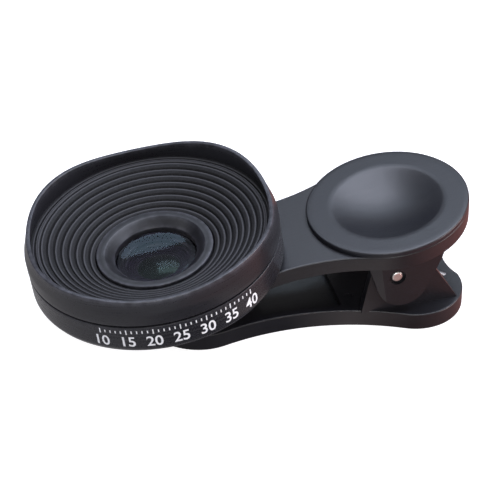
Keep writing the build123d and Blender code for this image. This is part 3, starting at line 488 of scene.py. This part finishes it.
# Turned pieces: a row of profile points carried round the lens axis, with petals and a screw thread
def turnedTree():
    sizes = ("Petals", "Petal Turn", "Wall Foot", "Wall Height", "Valley Step", "Edge Swing",
             "Thread Radius", "Thread Low", "Thread High", "Thread Pitch", "Thread Depth")
    tree = newTree("turnedPiece", {
        "Geometry": "Geometry", "Points": "Int", "Sides": "Int", **dict.fromkeys(sizes, "Float"),
        "Finish": "Material"})
    given = addNode(tree, "NodeGroupInput").outputs
    columns = addNode(tree, "ShaderNodeMath", {0: given["Sides"], 1: 1.0}, operation="ADD").outputs[0]
    sheet = addNode(tree, "GeometryNodeMeshGrid", {
        "Vertices X": columns, "Vertices Y": given["Points"]}).outputs[0]
    index = addNode(tree, "GeometryNodeInputIndex").outputs[0]
    row = addNode(tree, "ShaderNodeMath", {0: index, 1: given["Points"]}, operation="MODULO").outputs[0]
    column = addNode(tree, "ShaderNodeMath", {
        0: index, 1: given["Points"]}, operation="DIVIDE").outputs[0]
    column = addNode(tree, "ShaderNodeMath", {0: column}, operation="FLOOR").outputs[0]
    angle = addNode(tree, "ShaderNodeMath", {
        0: column, 1: 2 * math.pi}, operation="MULTIPLY").outputs[0]
    angle = addNode(tree, "ShaderNodeMath", {
        0: angle, 1: given["Sides"]}, operation="DIVIDE").outputs[0]
    point = addNode(tree, "GeometryNodeSampleIndex", {
        "Geometry": given["Geometry"], "Value": addNode(tree, "GeometryNodeInputPosition").outputs[0],
        "Index": row}, data_type="FLOAT_VECTOR", domain="POINT").outputs[0]
    spot = addNode(tree, "ShaderNodeSeparateXYZ", {0: point}).outputs
    radius, height, wearAndHighlight = spot[0], spot[2], spot[1]

    # the wall above its foot rises over each petal and leans in between them
    phase = addNode(tree, "ShaderNodeMath", {
        0: angle, 1: given["Petal Turn"]}, operation="SUBTRACT").outputs[0]
    phase = addNode(tree, "ShaderNodeMath", {
        0: phase, 1: given["Petals"]}, operation="MULTIPLY").outputs[0]
    wave = addNode(tree, "ShaderNodeMath", {0: phase}, operation="COSINE").outputs[0]
    climb = addNode(tree, "ShaderNodeMath", {
        0: height, 1: given["Wall Foot"]}, operation="SUBTRACT").outputs[0]
    climb = addNode(tree, "ShaderNodeMath", {0: climb, 1: 0.0}, operation="MAXIMUM").outputs[0]
    share = addNode(tree, "ShaderNodeMath", {
        0: climb, 1: given["Wall Height"]}, operation="DIVIDE").outputs[0]
    drop = addNode(tree, "ShaderNodeMath", {
        0: wave, 1: given["Edge Swing"]}, operation="MULTIPLY").outputs[0]
    drop = addNode(tree, "ShaderNodeMath", {0: drop, 1: share}, operation="MULTIPLY").outputs[0]
    height = addNode(tree, "ShaderNodeMath", {0: height, 1: drop}, operation="SUBTRACT").outputs[0]
    inward = addNode(tree, "ShaderNodeMath", {
        0: wave, 1: 0.5, 2: 0.5}, operation="MULTIPLY_ADD").outputs[0]
    inward = addNode(tree, "ShaderNodeMath", {
        0: inward, 1: given["Valley Step"]}, operation="MULTIPLY").outputs[0]
    inward = addNode(tree, "ShaderNodeMath", {0: inward, 1: share}, operation="MULTIPLY").outputs[0]
    radius = addNode(tree, "ShaderNodeMath", {0: radius, 1: inward}, operation="SUBTRACT").outputs[0]

    # the thread: a groove that climbs one pitch a turn, faded out at both its ends
    off = addNode(tree, "ShaderNodeMath", {
        0: spot[0], 1: given["Thread Radius"]}, operation="SUBTRACT").outputs[0]
    off = addNode(tree, "ShaderNodeMath", {0: off}, operation="ABSOLUTE").outputs[0]
    near = addNode(tree, "ShaderNodeMath", {0: off, 1: 0.02 * mm}, operation="LESS_THAN").outputs[0]
    turns = addNode(tree, "ShaderNodeMath", {
        0: spot[2], 1: given["Thread Pitch"]}, operation="DIVIDE").outputs[0]
    lead = addNode(tree, "ShaderNodeMath", {0: angle, 1: 2 * math.pi}, operation="DIVIDE").outputs[0]
    turns = addNode(tree, "ShaderNodeMath", {0: turns, 1: lead}, operation="SUBTRACT").outputs[0]
    ridge = addNode(tree, "ShaderNodeMath", {0: turns, 1: 1.0}, operation="PINGPONG").outputs[0]
    fades = [near]
    for end, inwards in (("Thread Low", "ADD"), ("Thread High", "SUBTRACT")):
        full = addNode(tree, "ShaderNodeMath", {
            0: given[end], 1: given["Thread Pitch"]}, operation=inwards).outputs[0]
        fades.append(addNode(tree, "ShaderNodeMapRange", {
            0: spot[2], 1: given[end], 2: full}).outputs[0])
    cut = addNode(tree, "ShaderNodeMath", {
        0: ridge, 1: given["Thread Depth"]}, operation="MULTIPLY").outputs[0]
    for fade in fades:
        cut = addNode(tree, "ShaderNodeMath", {0: cut, 1: fade}, operation="MULTIPLY").outputs[0]
    radius = addNode(tree, "ShaderNodeMath", {0: radius, 1: cut}, operation="SUBTRACT").outputs[0]

    cosine = addNode(tree, "ShaderNodeMath", {0: angle}, operation="COSINE").outputs[0]
    sine = addNode(tree, "ShaderNodeMath", {0: angle}, operation="SINE").outputs[0]
    x = addNode(tree, "ShaderNodeMath", {0: radius, 1: cosine}, operation="MULTIPLY").outputs[0]
    y = addNode(tree, "ShaderNodeMath", {0: radius, 1: sine}, operation="MULTIPLY").outputs[0]
    place = addNode(tree, "ShaderNodeCombineXYZ", {0: x, 1: y, 2: height}).outputs[0]
    # the edge mark, wear and a painted edge highlight, goes to the finishes as an attribute
    marked = addNode(tree, "GeometryNodeStoreNamedAttribute", {
        "Geometry": sheet, "Name": "edgeWearAndHighlight", "Value": wearAndHighlight},
        data_type="FLOAT", domain="POINT").outputs[0]
    bent = addNode(tree, "GeometryNodeSetPosition", {"Geometry": marked, "Position": place}).outputs[0]
    closed = addNode(tree, "GeometryNodeMergeByDistance", {
        "Geometry": bent, "Distance": 0.001 * mm}).outputs[0]
    return endTree(tree, closed, given["Finish"])


turnedPiece = turnedTree()


# Corners are radius and height in mm, some with their rounding and edge mark behind, a mark of wear
# and painted edge highlight; they are rounded off and kept as loose points, with longest as the most mm
# between two
def profileMesh(name, corners, steps, hollow, longest):
    rows = []
    count = len(corners)
    for i, (r, z, *soft) in enumerate(corners):
        rounding, wearAndHighlight = soft or (0, 0)
        here = Vector((r, 0, z))
        if not rounding:
            rows.append((here, wearAndHighlight))
            continue
        before = Vector((corners[i - 1][0], 0, corners[i - 1][1]))
        after = Vector((corners[(i + 1) % count][0], 0, corners[(i + 1) % count][1]))
        first = here + (before - here).normalized() * rounding
        last = here + (after - here).normalized() * rounding
        for s in range(steps + 1):
            t = s / steps
            spot = first * (1 - t) ** 2 + here * 2 * t * (1 - t) + last * t ** 2
            rows.append((spot, wearAndHighlight))
    dense = []
    for i, (spot, wearAndHighlight) in enumerate(rows if hollow else rows[:-1]):
        following, nextWearAndHighlight = rows[(i + 1) % len(rows)]
        gap = (following - spot).length
        cuts = max(1, math.ceil(gap / longest))
        # long runs keep their edge mark, wear and painted highlight, close to the corners only
        for s in range(cuts):
            t = s / cuts
            paleTone = wearAndHighlight * (1 - t) ** 4 + nextWearAndHighlight * t ** 4 if cuts > 1 else wearAndHighlight
            at = spot.lerp(following, t)
            dense.append((at.x * mm, paleTone, at.z * mm))
    # a ring closes on its first point, a solid piece ends on the axis
    dense.append(dense[0] if hollow else (0.0, rows[-1][1], rows[-1][0].z * mm))
    mesh = bpy.data.meshes.new(name + "Profile")
    mesh.from_pydata(dense, [], [])
    return mesh


# Points along a threaded wall, close enough together for the thread to be cut into it
def threadRows(radius, start, end, pitch, perPitch=10):
    count = round(abs(end - start) / pitch * perPitch)
    return [(radius, start + (end - start) * step / count) for step in range(1, count)]


def threadRule(p, radius, low, high):
    return {"Thread Radius": radius * mm, "Thread Low": low * mm, "Thread High": high * mm,
            "Thread Pitch": p["threadPitch"] * mm, "Thread Depth": p["threadDepth"] * mm}


# Makes one turned piece from its corners and puts it in the place of its CAD node; the sizes
# given first leave the petals and the thread off
def turnPiece(name, node, body, slot, finish, corners, steps=3, sides=256, hollow=True, aside=0.0,
              longest=0.9, **rule):
    mesh = profileMesh(name, corners, steps, hollow, longest)
    values = {"Points": len(mesh.vertices), "Sides": sides, "Petals": 0.0, "Wall Height": 1.0,
              "Thread Radius": -1.0, "Thread Pitch": 1.0, "Wall Foot": 1.0, "Finish": finish}
    values.update(rule)
    piece = grown(name, turnedPiece, mesh, values, onLensAxis @ Matrix.Translation((aside * mm, 0, 0)))
    shadeBySharpness(piece.data)
    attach(piece, body)
    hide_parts(node)
    return piece


# Smooth faces, with the real corners left sharp, and outward normals
def shadeBySharpness(mesh):
    volume = 0.0
    mesh.calc_loop_triangles()
    for face in mesh.loop_triangles:
        a, b, c = (mesh.vertices[i].co - lensFoot for i in face.vertices)
        volume += a.dot(b.cross(c))
    if volume < 0:
        mesh.flip_normals()
    mesh.shade_smooth()
    mesh.set_sharp_from_angle(angle=math.radians(35))


petalHood = {
    "radius": 22.05, "bottom": 5.97, "bandHeight": 2.6, "wall": 1.1, "petals": 4.0, "petalTurn": -5.5,
    "valleyStep": 0.75, "rimHeight": 2.7, "rimLean": 0.04, "swing": 0.45, "rimWall": 0.76,
    "lipRadius": 19.6, "lipHeight": 2.0, "grooveDepth": 0.9, "grooveOpen": 0.42,
}


def hoodCorners(p):
    bandTop = p["bottom"] + p["bandHeight"]
    rim = bandTop + p["rimHeight"]
    inner = p["radius"] - p["wall"]
    groove = p["radius"] - p["grooveDepth"]
    return [
        (p["lipRadius"], p["bottom"]), (groove, p["bottom"]),
        (groove, p["bottom"] + p["grooveOpen"]),
        (p["radius"], p["bottom"] + p["grooveOpen"], 0.12, 0.1),
        (p["radius"], bandTop, 0.5, 0),
        (p["radius"] - p["rimLean"], rim, 0.14, 1.0), (p["radius"] - p["rimWall"], rim, 0.16, 0.8),
        (inner, bandTop), (inner, p["bottom"] + p["lipHeight"]),
        (p["lipRadius"], p["bottom"] + p["lipHeight"]),
    ]


turnPiece(
    "petalHood", "lens_hood", "wide_lens", "hood_metal", hoodMetal, hoodCorners(petalHood), sides=288,
    **{"Petals": petalHood["petals"], "Petal Turn": math.radians(petalHood["petalTurn"]),
       "Wall Foot": (petalHood["bottom"] + petalHood["bandHeight"]) * mm,
       "Wall Height": petalHood["rimHeight"] * mm,
       "Valley Step": petalHood["valleyStep"] * mm, "Edge Swing": petalHood["swing"] * mm})

baffle = {
    "start": 10.25, "startHeight": 4.3, "end": 19.31, "ridges": 8, "slope": 24.6, "crest": 0.62,
    "depth": 0.42, "inner": 10.28, "outer": 20.93, "floor": 7.99, "underRadius": 19.5,
    "thickness": 1.0, "clearance": 0.02,
    "landOut": 0.65, "landRise": 0.1, "grooveDepth": 0.45, "grooveFloor": (0.1, 0.3), "grooveEnd": 0.4,
}


# Top of the barrel's web, which the baffle lies on
def webTop(r):
    rise = math.tan(math.radians(baffle["slope"]))
    return baffle["startHeight"] - baffle["thickness"] + (r - baffle["start"]) * rise


def baffleCorners(p):
    rise = math.tan(math.radians(p["slope"]))
    pitch = (p["end"] - p["start"]) / p["ridges"]
    cut = (1 - p["crest"]) * pitch / 2
    corners = [(p["inner"], p["startHeight"] - p["depth"])]
    for number in range(p["ridges"] + 1):
        r = p["start"] + number * pitch
        z = p["startHeight"] + number * pitch * rise
        if number:
            corners.append((r, z - p["depth"], 0.05, 0))
        if number == p["ridges"]:
            corners.append((r + cut, z, 0.06, 0.9))
            break
        corners.append((r + cut, z + cut * rise, 0.06, 0.15))
        corners.append((r + pitch - cut, z + (pitch - cut) * rise, 0.08, 1.0))
    # the outer land, with a narrow groove in it
    landR = p["end"] + p["landOut"]
    landZ = p["startHeight"] + p["ridges"] * pitch * rise + p["landRise"]
    corners.append((landR, landZ, 0.05, 1.0))
    corners += [(landR + reach, landZ - p["grooveDepth"]) for reach in p["grooveFloor"]]
    corners += [(landR + p["grooveEnd"], landZ, 0.05, 0.8), (p["outer"], landZ),
                (p["outer"], p["floor"]), (p["underRadius"], p["floor"])]
    return corners + [(r, webTop(r) + p["clearance"]) for r in (p["underRadius"], p["inner"])]


turnPiece("ridgedBaffle", "ridge_baffle", "wide_lens", "baffle_plastic", bafflePlastic,
          baffleCorners(baffle), steps=2, sides=224, longest=0.24)

glassRing = {
    "radius": 10.2, "top": 4.8, "flat": 1.45, "mouth": 7.14, "mouthHeight": 3.5, "foot": 1.85,
    "rest": 4.02, "threadRadius": 9.5, "glassRadius": 8.5, "lip": 0.6,
}


def glassRingCorners(p):
    return [
        (p["mouth"], p["foot"] + p["lip"]), (p["mouth"], p["mouthHeight"], 0.08, 0.6),
        (p["radius"] - p["flat"], p["top"], 0.14, 0.5), (p["radius"], p["top"], 0.16, 1.0),
        (p["radius"], p["rest"]), (p["threadRadius"], p["rest"]),
        (p["threadRadius"], p["foot"]), (p["glassRadius"], p["foot"]),
    ]


turnPiece("glassRing", "front_retainer", "wide_lens", "retainer_metal", retainerMetal,
          glassRingCorners(glassRing), sides=192)

frontLens = {
    "middle": 2.55, "rimRadius": 6.8, "rimHeight": 2.85, "edgeRadius": 8.5, "edgeTop": 1.69,
    "edgeBottom": 1.19, "backRadius": 5.8, "backHollow": 1.1,
}


def frontLensCorners(p):
    face = [(p["rimRadius"] * i / 12, p["middle"] + (p["rimHeight"] - p["middle"]) * (i / 12) ** 2)
            for i in range(12)]
    back = [(p["backRadius"] * i / 12, p["edgeBottom"] + p["backHollow"] * (1 - (i / 12) ** 2))
            for i in range(12, -1, -1)]
    return face + [
        (p["rimRadius"], p["rimHeight"], 0.08, 0), (p["rimRadius"], p["edgeTop"]),
        (p["edgeRadius"], p["edgeTop"]), (p["edgeRadius"], p["edgeBottom"])] + back


frontGlass = turnPiece("frontLens", "front_glass", "wide_lens", "lens_glass", frontCoat,
                       frontLensCorners(frontLens), sides=160, hollow=False)

# The spacer's black inner cone steps down to the rear glass; its step edges carry a painted purple
# highlight
spacerRing = {
    "outer": 8.5, "throat": 5.95, "bottom": 0.92, "top": 1.17, "mouth": 4.0, "mouthHeight": 0.18,
    "lipDepth": 0.08, "steps": 5,
}


def spacerCorners(p):
    count = p["steps"]
    tread, riser = (p["throat"] - p["mouth"]) / count, (p["top"] - p["mouthHeight"]) / count
    corners = [(p["mouth"], p["mouthHeight"] - p["lipDepth"])]
    for number in range(count):
        r, z = p["mouth"] + number * tread, p["mouthHeight"] + number * riser
        corners += [(r, z, 0.03, 1.0), (r + tread, z)]
    return corners + [
        (p["throat"], p["top"], 0.03, 0.4), (p["outer"], p["top"]), (p["outer"], p["bottom"]),
        (p["throat"], p["bottom"])]


turnPiece("spacerRing", "lens_spacer", "wide_lens", "baffle_plastic", spacerMetal,
          spacerCorners(spacerRing), sides=160)

rearLens = {"radius": 6.5, "clear": 4.1, "crest": 0.62, "top": 0.05, "foot": 0.035}


def rearLensCorners(p):
    face = [(p["clear"] * i / 12, p["crest"] - (p["crest"] - p["top"]) * (i / 12) ** 2)
            for i in range(12)]
    return face + [
        (p["clear"], p["top"]), (p["radius"], p["top"]), (p["radius"], p["foot"]),
        (0, p["foot"])]


rearGlass = turnPiece("rearLens", "rear_crown", "wide_lens", "lens_glass", rearCoat,
                      rearLensCorners(rearLens), sides=128, hollow=False)

# clear glass lets the light through to what lies below it
for glass in (frontGlass, rearGlass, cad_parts["rear_flint"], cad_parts["macro_glass"]):
    glass.visible_shadow = False

thumbCap = {
    "axis": 41.65, "radius": 14.35, "rise": 0.9, "foot": 0.07,
    "dish": 10.0, "dishDepth": 2.4, "dishPower": 1.15,   # a higher power softens the dish's edge
    "plug": 12.0, "plugEnd": -1.4, "inside": 10.9, "ceiling": -0.2, "underside": 2.15,
}


def thumbCapCorners(p):
    dish = [(p["dish"] * i / 24, p["rise"] - p["dishDepth"] * (1 - (i / 24) ** 2) ** p["dishPower"])
            for i in range(25)]
    under = [(p["inside"] * i / 12, p["ceiling"] - p["underside"] * (1 - (i / 12) ** 2))
             for i in range(12, -1, -1)]
    return dish + [
        (p["radius"], p["rise"], 0.3, 0), (p["radius"], p["foot"]), (p["plug"], p["foot"]),
        (p["plug"], p["plugEnd"], 0.15, 0), (p["inside"], p["plugEnd"])] + under


turnPiece("thumbCap", "thumb_cap", "clip_top", "cap_plastic", capPlastic, thumbCapCorners(thumbCap),
          sides=192, hollow=False, aside=thumbCap["axis"])

macroRing = {
    "radius": 22.0, "bottom": 0.45, "height": 5.5, "taper": 0.6, "taperHeight": 1.0, "mouth": 18.56,
    "mouthFloor": 2.32, "well": 10.25, "wellFloor": 0.25, "cell": 7.51, "shelf": 6.4,
    "shelfTop": -1.25, "shelfUnder": -1.75, "bore": 7.5, "spigot": 8.5, "spigotEnd": -3.1,
    "collar": 11.0, "collarSink": 0.5, "threadPitch": 0.75, "threadDepth": 0.32,
}


def macroCorners(p):
    top = p["bottom"] + p["height"]
    return [
        (p["shelf"], p["shelfTop"]), (p["cell"], p["shelfTop"]), (p["cell"], p["wellFloor"]),
        (p["well"], p["wellFloor"]), (p["well"], p["mouthFloor"]), (p["mouth"], p["mouthFloor"]),
        (p["mouth"], top, 0.1, 0.5), (p["radius"], top, 0.12, 0.3),
        (p["radius"], p["bottom"] + p["taperHeight"], 0.35, 0),
        (p["radius"] - p["taper"], p["bottom"], 0.3, 0.1),
        (p["collar"], p["bottom"]), (p["collar"], -p["collarSink"]), (p["spigot"], -p["collarSink"]),
    ] + threadRows(p["spigot"], -p["collarSink"], p["spigotEnd"], p["threadPitch"]) + [
        (p["spigot"], p["spigotEnd"], 0.1, 0.6), (p["bore"], p["spigotEnd"]),
        (p["bore"], p["shelfUnder"]), (p["shelf"], p["shelfUnder"]),
    ]


turnPiece(
    "macroRing", "macro_barrel", "macro_lens", "macro_metal", macroMetal, macroCorners(macroRing),
    sides=224, **threadRule(
        macroRing, macroRing["spigot"], macroRing["spigotEnd"], -macroRing["collarSink"]))

wideBody = {
    "threadRadius": 18.5, "threadEnd": 2.57, "seat": 6.22, "shoulder": 19.58, "tube": 10.0,
    "tubeBottom": 0.5, "tubeFloor": 0.9, "tubeRim": 4.0, "cell": 7.45, "cellInner": 6.6,
    "cellBottom": -1.05, "shelf": 6.0, "glass": 8.58, "ringThread": 9.52, "ringFoot": 1.75,
    "ringRadius": 10.2, "threadPitch": 0.75, "threadDepth": 0.35,
}


def wideCorners(p):
    return [
        (p["shelf"], p["tubeBottom"]), (p["cellInner"], p["tubeBottom"]),
        (p["cellInner"], p["cellBottom"]), (p["cell"], p["cellBottom"], 0.1, 0.4),
        (p["cell"], p["tubeBottom"]), (p["tube"], p["tubeBottom"], 0.2, 0.4),
        (p["tube"], p["threadEnd"]), (p["threadRadius"], p["threadEnd"], 0.12, 0.6),
    ] + threadRows(p["threadRadius"], p["threadEnd"], p["seat"], p["threadPitch"]) + [
        (p["threadRadius"], p["seat"]), (p["shoulder"], p["seat"]),
        (p["shoulder"], webTop(p["shoulder"])), (p["ringRadius"], webTop(p["ringRadius"])),
        (p["ringRadius"], p["tubeRim"]), (p["ringThread"], p["tubeRim"]),
        (p["ringThread"], p["ringFoot"]), (p["glass"], p["ringFoot"]),
        (p["glass"], p["tubeFloor"]), (p["shelf"], p["tubeFloor"]),
    ]


turnPiece(
    "threadedBody", "wide_barrel", "wide_lens", "barrel_metal", barrelMetal, wideCorners(wideBody),
    sides=224, **threadRule(
        wideBody, wideBody["threadRadius"], wideBody["threadEnd"], wideBody["seat"]))

# cut outwards into the bore, so its depth is negative
socketThread = {
    "outer": 10.3, "bore": 8.56, "bottom": -3.1, "top": -0.52,
    "threadPitch": 0.75, "threadDepth": -0.32,
}


def socketCorners(p):
    return [(p["bore"], p["bottom"], 0.1, 0)] + threadRows(
        p["bore"], p["bottom"], p["top"], p["threadPitch"]) + [
        (p["bore"], p["top"]), (p["outer"], p["top"]), (p["outer"], p["bottom"], 0.15, 0)]


turnPiece(
    "socketThread", "socket_ring", "clip_top", "socket_brass", socketBrass, socketCorners(socketThread),
    sides=160, **threadRule(
        socketThread, socketThread["bore"], socketThread["bottom"], socketThread["top"]))
print("turned pieces made")


# The spring's wire: a round section carried along a leg, the coil and the other leg
def wireTree():
    tree = newTree("springWire", {
        "Geometry": "Geometry", "Wire Radius": "Float", "Sides": "Int", "Finish": "Material"})
    given = addNode(tree, "NodeGroupInput").outputs
    path = addNode(tree, "GeometryNodeMeshToCurve", {0: given["Geometry"]}).outputs[0]
    section = addNode(tree, "GeometryNodeCurvePrimitiveCircle", {
        "Resolution": given["Sides"], "Radius": given["Wire Radius"]}).outputs[0]
    wire = addNode(tree, "GeometryNodeCurveToMesh", {
        "Curve": path, "Profile Curve": section, "Fill Caps": True}).outputs[0]
    smooth = addNode(tree, "GeometryNodeSetShadeSmooth", {"Geometry": wire}).outputs[0]
    return endTree(tree, smooth, given["Finish"])


spring = {
    "wireRadius": 0.5, "coilRadius": 2.4, "turns": 6, "pitch": 1.12, "reach": 12.3, "pinHeight": 11.4,
    "lowLeg": -7.58, "highLeg": 4.3343, "steps": 240, "sides": 16,
}


def springPath(p):
    low, high = (p["reach"], p["lowLeg"]), (p["reach"], p["highLeg"])
    begin = math.atan2(low[1], low[0]) - math.acos(p["coilRadius"] / math.hypot(*low))
    stop = math.atan2(high[1], high[0]) + math.acos(p["coilRadius"] / math.hypot(*high))
    sweep = begin - stop + 2 * math.pi * p["turns"]
    width = p["pitch"] * sweep / (2 * math.pi)
    points = []
    for step in range(p["steps"] + 1):
        turned = sweep * step / p["steps"]
        points.append(Vector((
            p["coilRadius"] * math.cos(begin - turned), p["pitch"] * turned / (2 * math.pi) - width / 2,
            p["coilRadius"] * math.sin(begin - turned) + p["pinHeight"])))
    # each leg leaves the coil straight on
    for end, nextTo, leg in ((0, 1, low), (-1, -2, high)):
        way = (points[end] - points[nextTo]).normalized()
        length = math.sqrt(math.hypot(*leg) ** 2 - p["coilRadius"] ** 2)
        tip = [points[end] + way * length * share for share in (0.25, 0.5, 0.75, 1.0)]
        points = tip[::-1] + points if end == 0 else points + tip
    mesh = bpy.data.meshes.new("springPath")
    mesh.from_pydata([point * mm for point in points], [(i, i + 1) for i in range(len(points) - 1)], [])
    return mesh


coil = grown("coilSpring", wireTree(), springPath(spring), {
    "Wire Radius": spring["wireRadius"] * mm, "Sides": spring["sides"], "Finish": springSteel})
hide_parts("torsion_spring")
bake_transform(coil)
print("spring wound")


# White scale printed on the macro ring: plain ticks and numbers
def scaleTree():
    sizes = ("Start", "Step", "Radius", "Height", "Tick Width", "Tick Length", "Ink Depth",
             "Long Every", "Long Share")
    tree = newTree("scaleTicks", {
        "Geometry": "Geometry", "Count": "Int", **dict.fromkeys(sizes, "Float"), "Ink": "Material"})
    given = addNode(tree, "NodeGroupInput").outputs
    line = addNode(tree, "GeometryNodeMeshLine", {"Count": given["Count"]}).outputs[0]
    index = addNode(tree, "GeometryNodeInputIndex").outputs[0]
    angle = addNode(tree, "ShaderNodeMath", {
        0: index, 1: given["Step"], 2: given["Start"]}, operation="MULTIPLY_ADD").outputs[0]
    cosine = addNode(tree, "ShaderNodeMath", {0: angle}, operation="COSINE").outputs[0]
    sine = addNode(tree, "ShaderNodeMath", {0: angle}, operation="SINE").outputs[0]
    x, y = (addNode(tree, "ShaderNodeMath", {
        0: part, 1: given["Radius"]}, operation="MULTIPLY").outputs[0] for part in (cosine, sine))
    place = addNode(tree, "ShaderNodeCombineXYZ", {0: x, 1: y, 2: given["Height"]}).outputs[0]
    points = addNode(tree, "GeometryNodeSetPosition", {"Geometry": line, "Position": place}).outputs[0]
    since = addNode(tree, "ShaderNodeMath", {
        0: index, 1: given["Long Every"]}, operation="MODULO").outputs[0]
    isLong = addNode(tree, "ShaderNodeMath", {0: since, 1: 0.5}, operation="LESS_THAN").outputs[0]
    stretch = addNode(tree, "ShaderNodeMath", {
        0: isLong, 1: given["Long Share"], 2: 1.0}, operation="MULTIPLY_ADD").outputs[0]
    size = addNode(tree, "ShaderNodeCombineXYZ", {
        0: given["Ink Depth"], 1: given["Tick Width"], 2: given["Tick Length"]}).outputs[0]
    tick = addNode(tree, "GeometryNodeMeshCube", {"Size": size}).outputs[0]
    turn = addNode(tree, "ShaderNodeCombineXYZ", {2: angle}).outputs[0]
    longer = addNode(tree, "ShaderNodeCombineXYZ", {0: 1.0, 1: 1.0, 2: stretch}).outputs[0]
    ticks = addNode(tree, "GeometryNodeInstanceOnPoints", {
        "Points": points, "Instance": tick, "Rotation": turn, "Scale": longer}).outputs[0]
    return endTree(tree, ticks, given["Ink"])


# Pad-printed white ink: flat, a little uneven where the pad left less of it
def printedInk():
    material, tree, output = newMaterial("whiteInkPadPrinted")
    place = addNode(tree, "ShaderNodeTexCoord").outputs["Object"]
    patch = addNode(tree, "ShaderNodeTexNoise", {
        "Vector": place, "Scale": 1 / (scale["patchSize"] * mm), "Detail": 3.0})
    tone = addNode(tree, "ShaderNodeMix", {
        0: patch.outputs["Fac"], 6: srgb(scale["ink"]), 7: srgb(scale["thinInk"])}, data_type="RGBA")
    shader = addNode(tree, "ShaderNodeBsdfPrincipled", {
        "Base Color": tone.outputs[2], "Roughness": 0.5, "IOR": 1.5})
    tree.links.new(shader.outputs[0], output.inputs[0])
    return material


scale = {
    "radius": 22.0, "tickHeight": 5.0, "tickWidth": 0.2, "tickLength": 0.55,
    "start": -128.0, "step": 2.4, "count": 31, "longEvery": 5.0, "longShare": 0.8,
    "numberHeight": 2.85, "numberSize": 2.9, "numberWeight": 0.035,
    "numbers": ("10", "15", "20", "25", "30", "35", "40"),
    "inkDepth": 0.04, "ink": "#f2f2f2", "thinInk": "#d2d2d4", "patchSize": 0.5,
}


# A flat number, stood up and bent round the ring at its own angle
def ringNumber(word, angle, p, ink):
    curve = bpy.data.curves.new("number" + word, "FONT")
    curve.body = word
    curve.size = p["numberSize"] * mm
    curve.align_x, curve.align_y = "CENTER", "CENTER"
    curve.extrude = p["inkDepth"] / 2 * mm
    curve.offset = p["numberWeight"] * mm
    flat = bpy.data.objects.new("number" + word, curve)
    bpy.context.scene.collection.objects.link(flat)
    mesh = bpy.data.meshes.new_from_object(flat.evaluated_get(bpy.context.evaluated_depsgraph_get()))
    bpy.data.objects.remove(flat)
    radius = p["radius"] * mm
    for vertex in mesh.vertices:
        across, up, out = vertex.co
        turned = angle + across / radius
        reach = radius + out
        vertex.co = Vector((
            reach * math.cos(turned), reach * math.sin(turned), p["numberHeight"] * mm + up))
    mesh.transform(onLensAxis)
    mesh.materials.clear()
    mesh.materials.append(ink)
    return mesh


whiteInk = printedInk()
ticks = grown("macroScale", scaleTree(), bpy.data.meshes.new("empty"), {
    "Count": scale["count"], "Start": math.radians(scale["start"]), "Step": math.radians(scale["step"]),
    "Radius": scale["radius"] * mm, "Height": scale["tickHeight"] * mm,
    "Tick Width": scale["tickWidth"] * mm, "Tick Length": scale["tickLength"] * mm,
    "Ink Depth": scale["inkDepth"] * mm, "Long Every": scale["longEvery"],
    "Long Share": scale["longShare"], "Ink": whiteInk}, onLensAxis)
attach(ticks, "macro_lens")
for order, word in enumerate(scale["numbers"]):
    angle = math.radians(scale["start"] + order * scale["longEvery"] * scale["step"])
    number = bpy.data.objects.new("macroNumber" + word, ringNumber(word, angle, scale, whiteInk))
    bpy.context.scene.collection.objects.link(number)
    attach(number, "macro_lens")
print("scale printed")

print("scene ready")
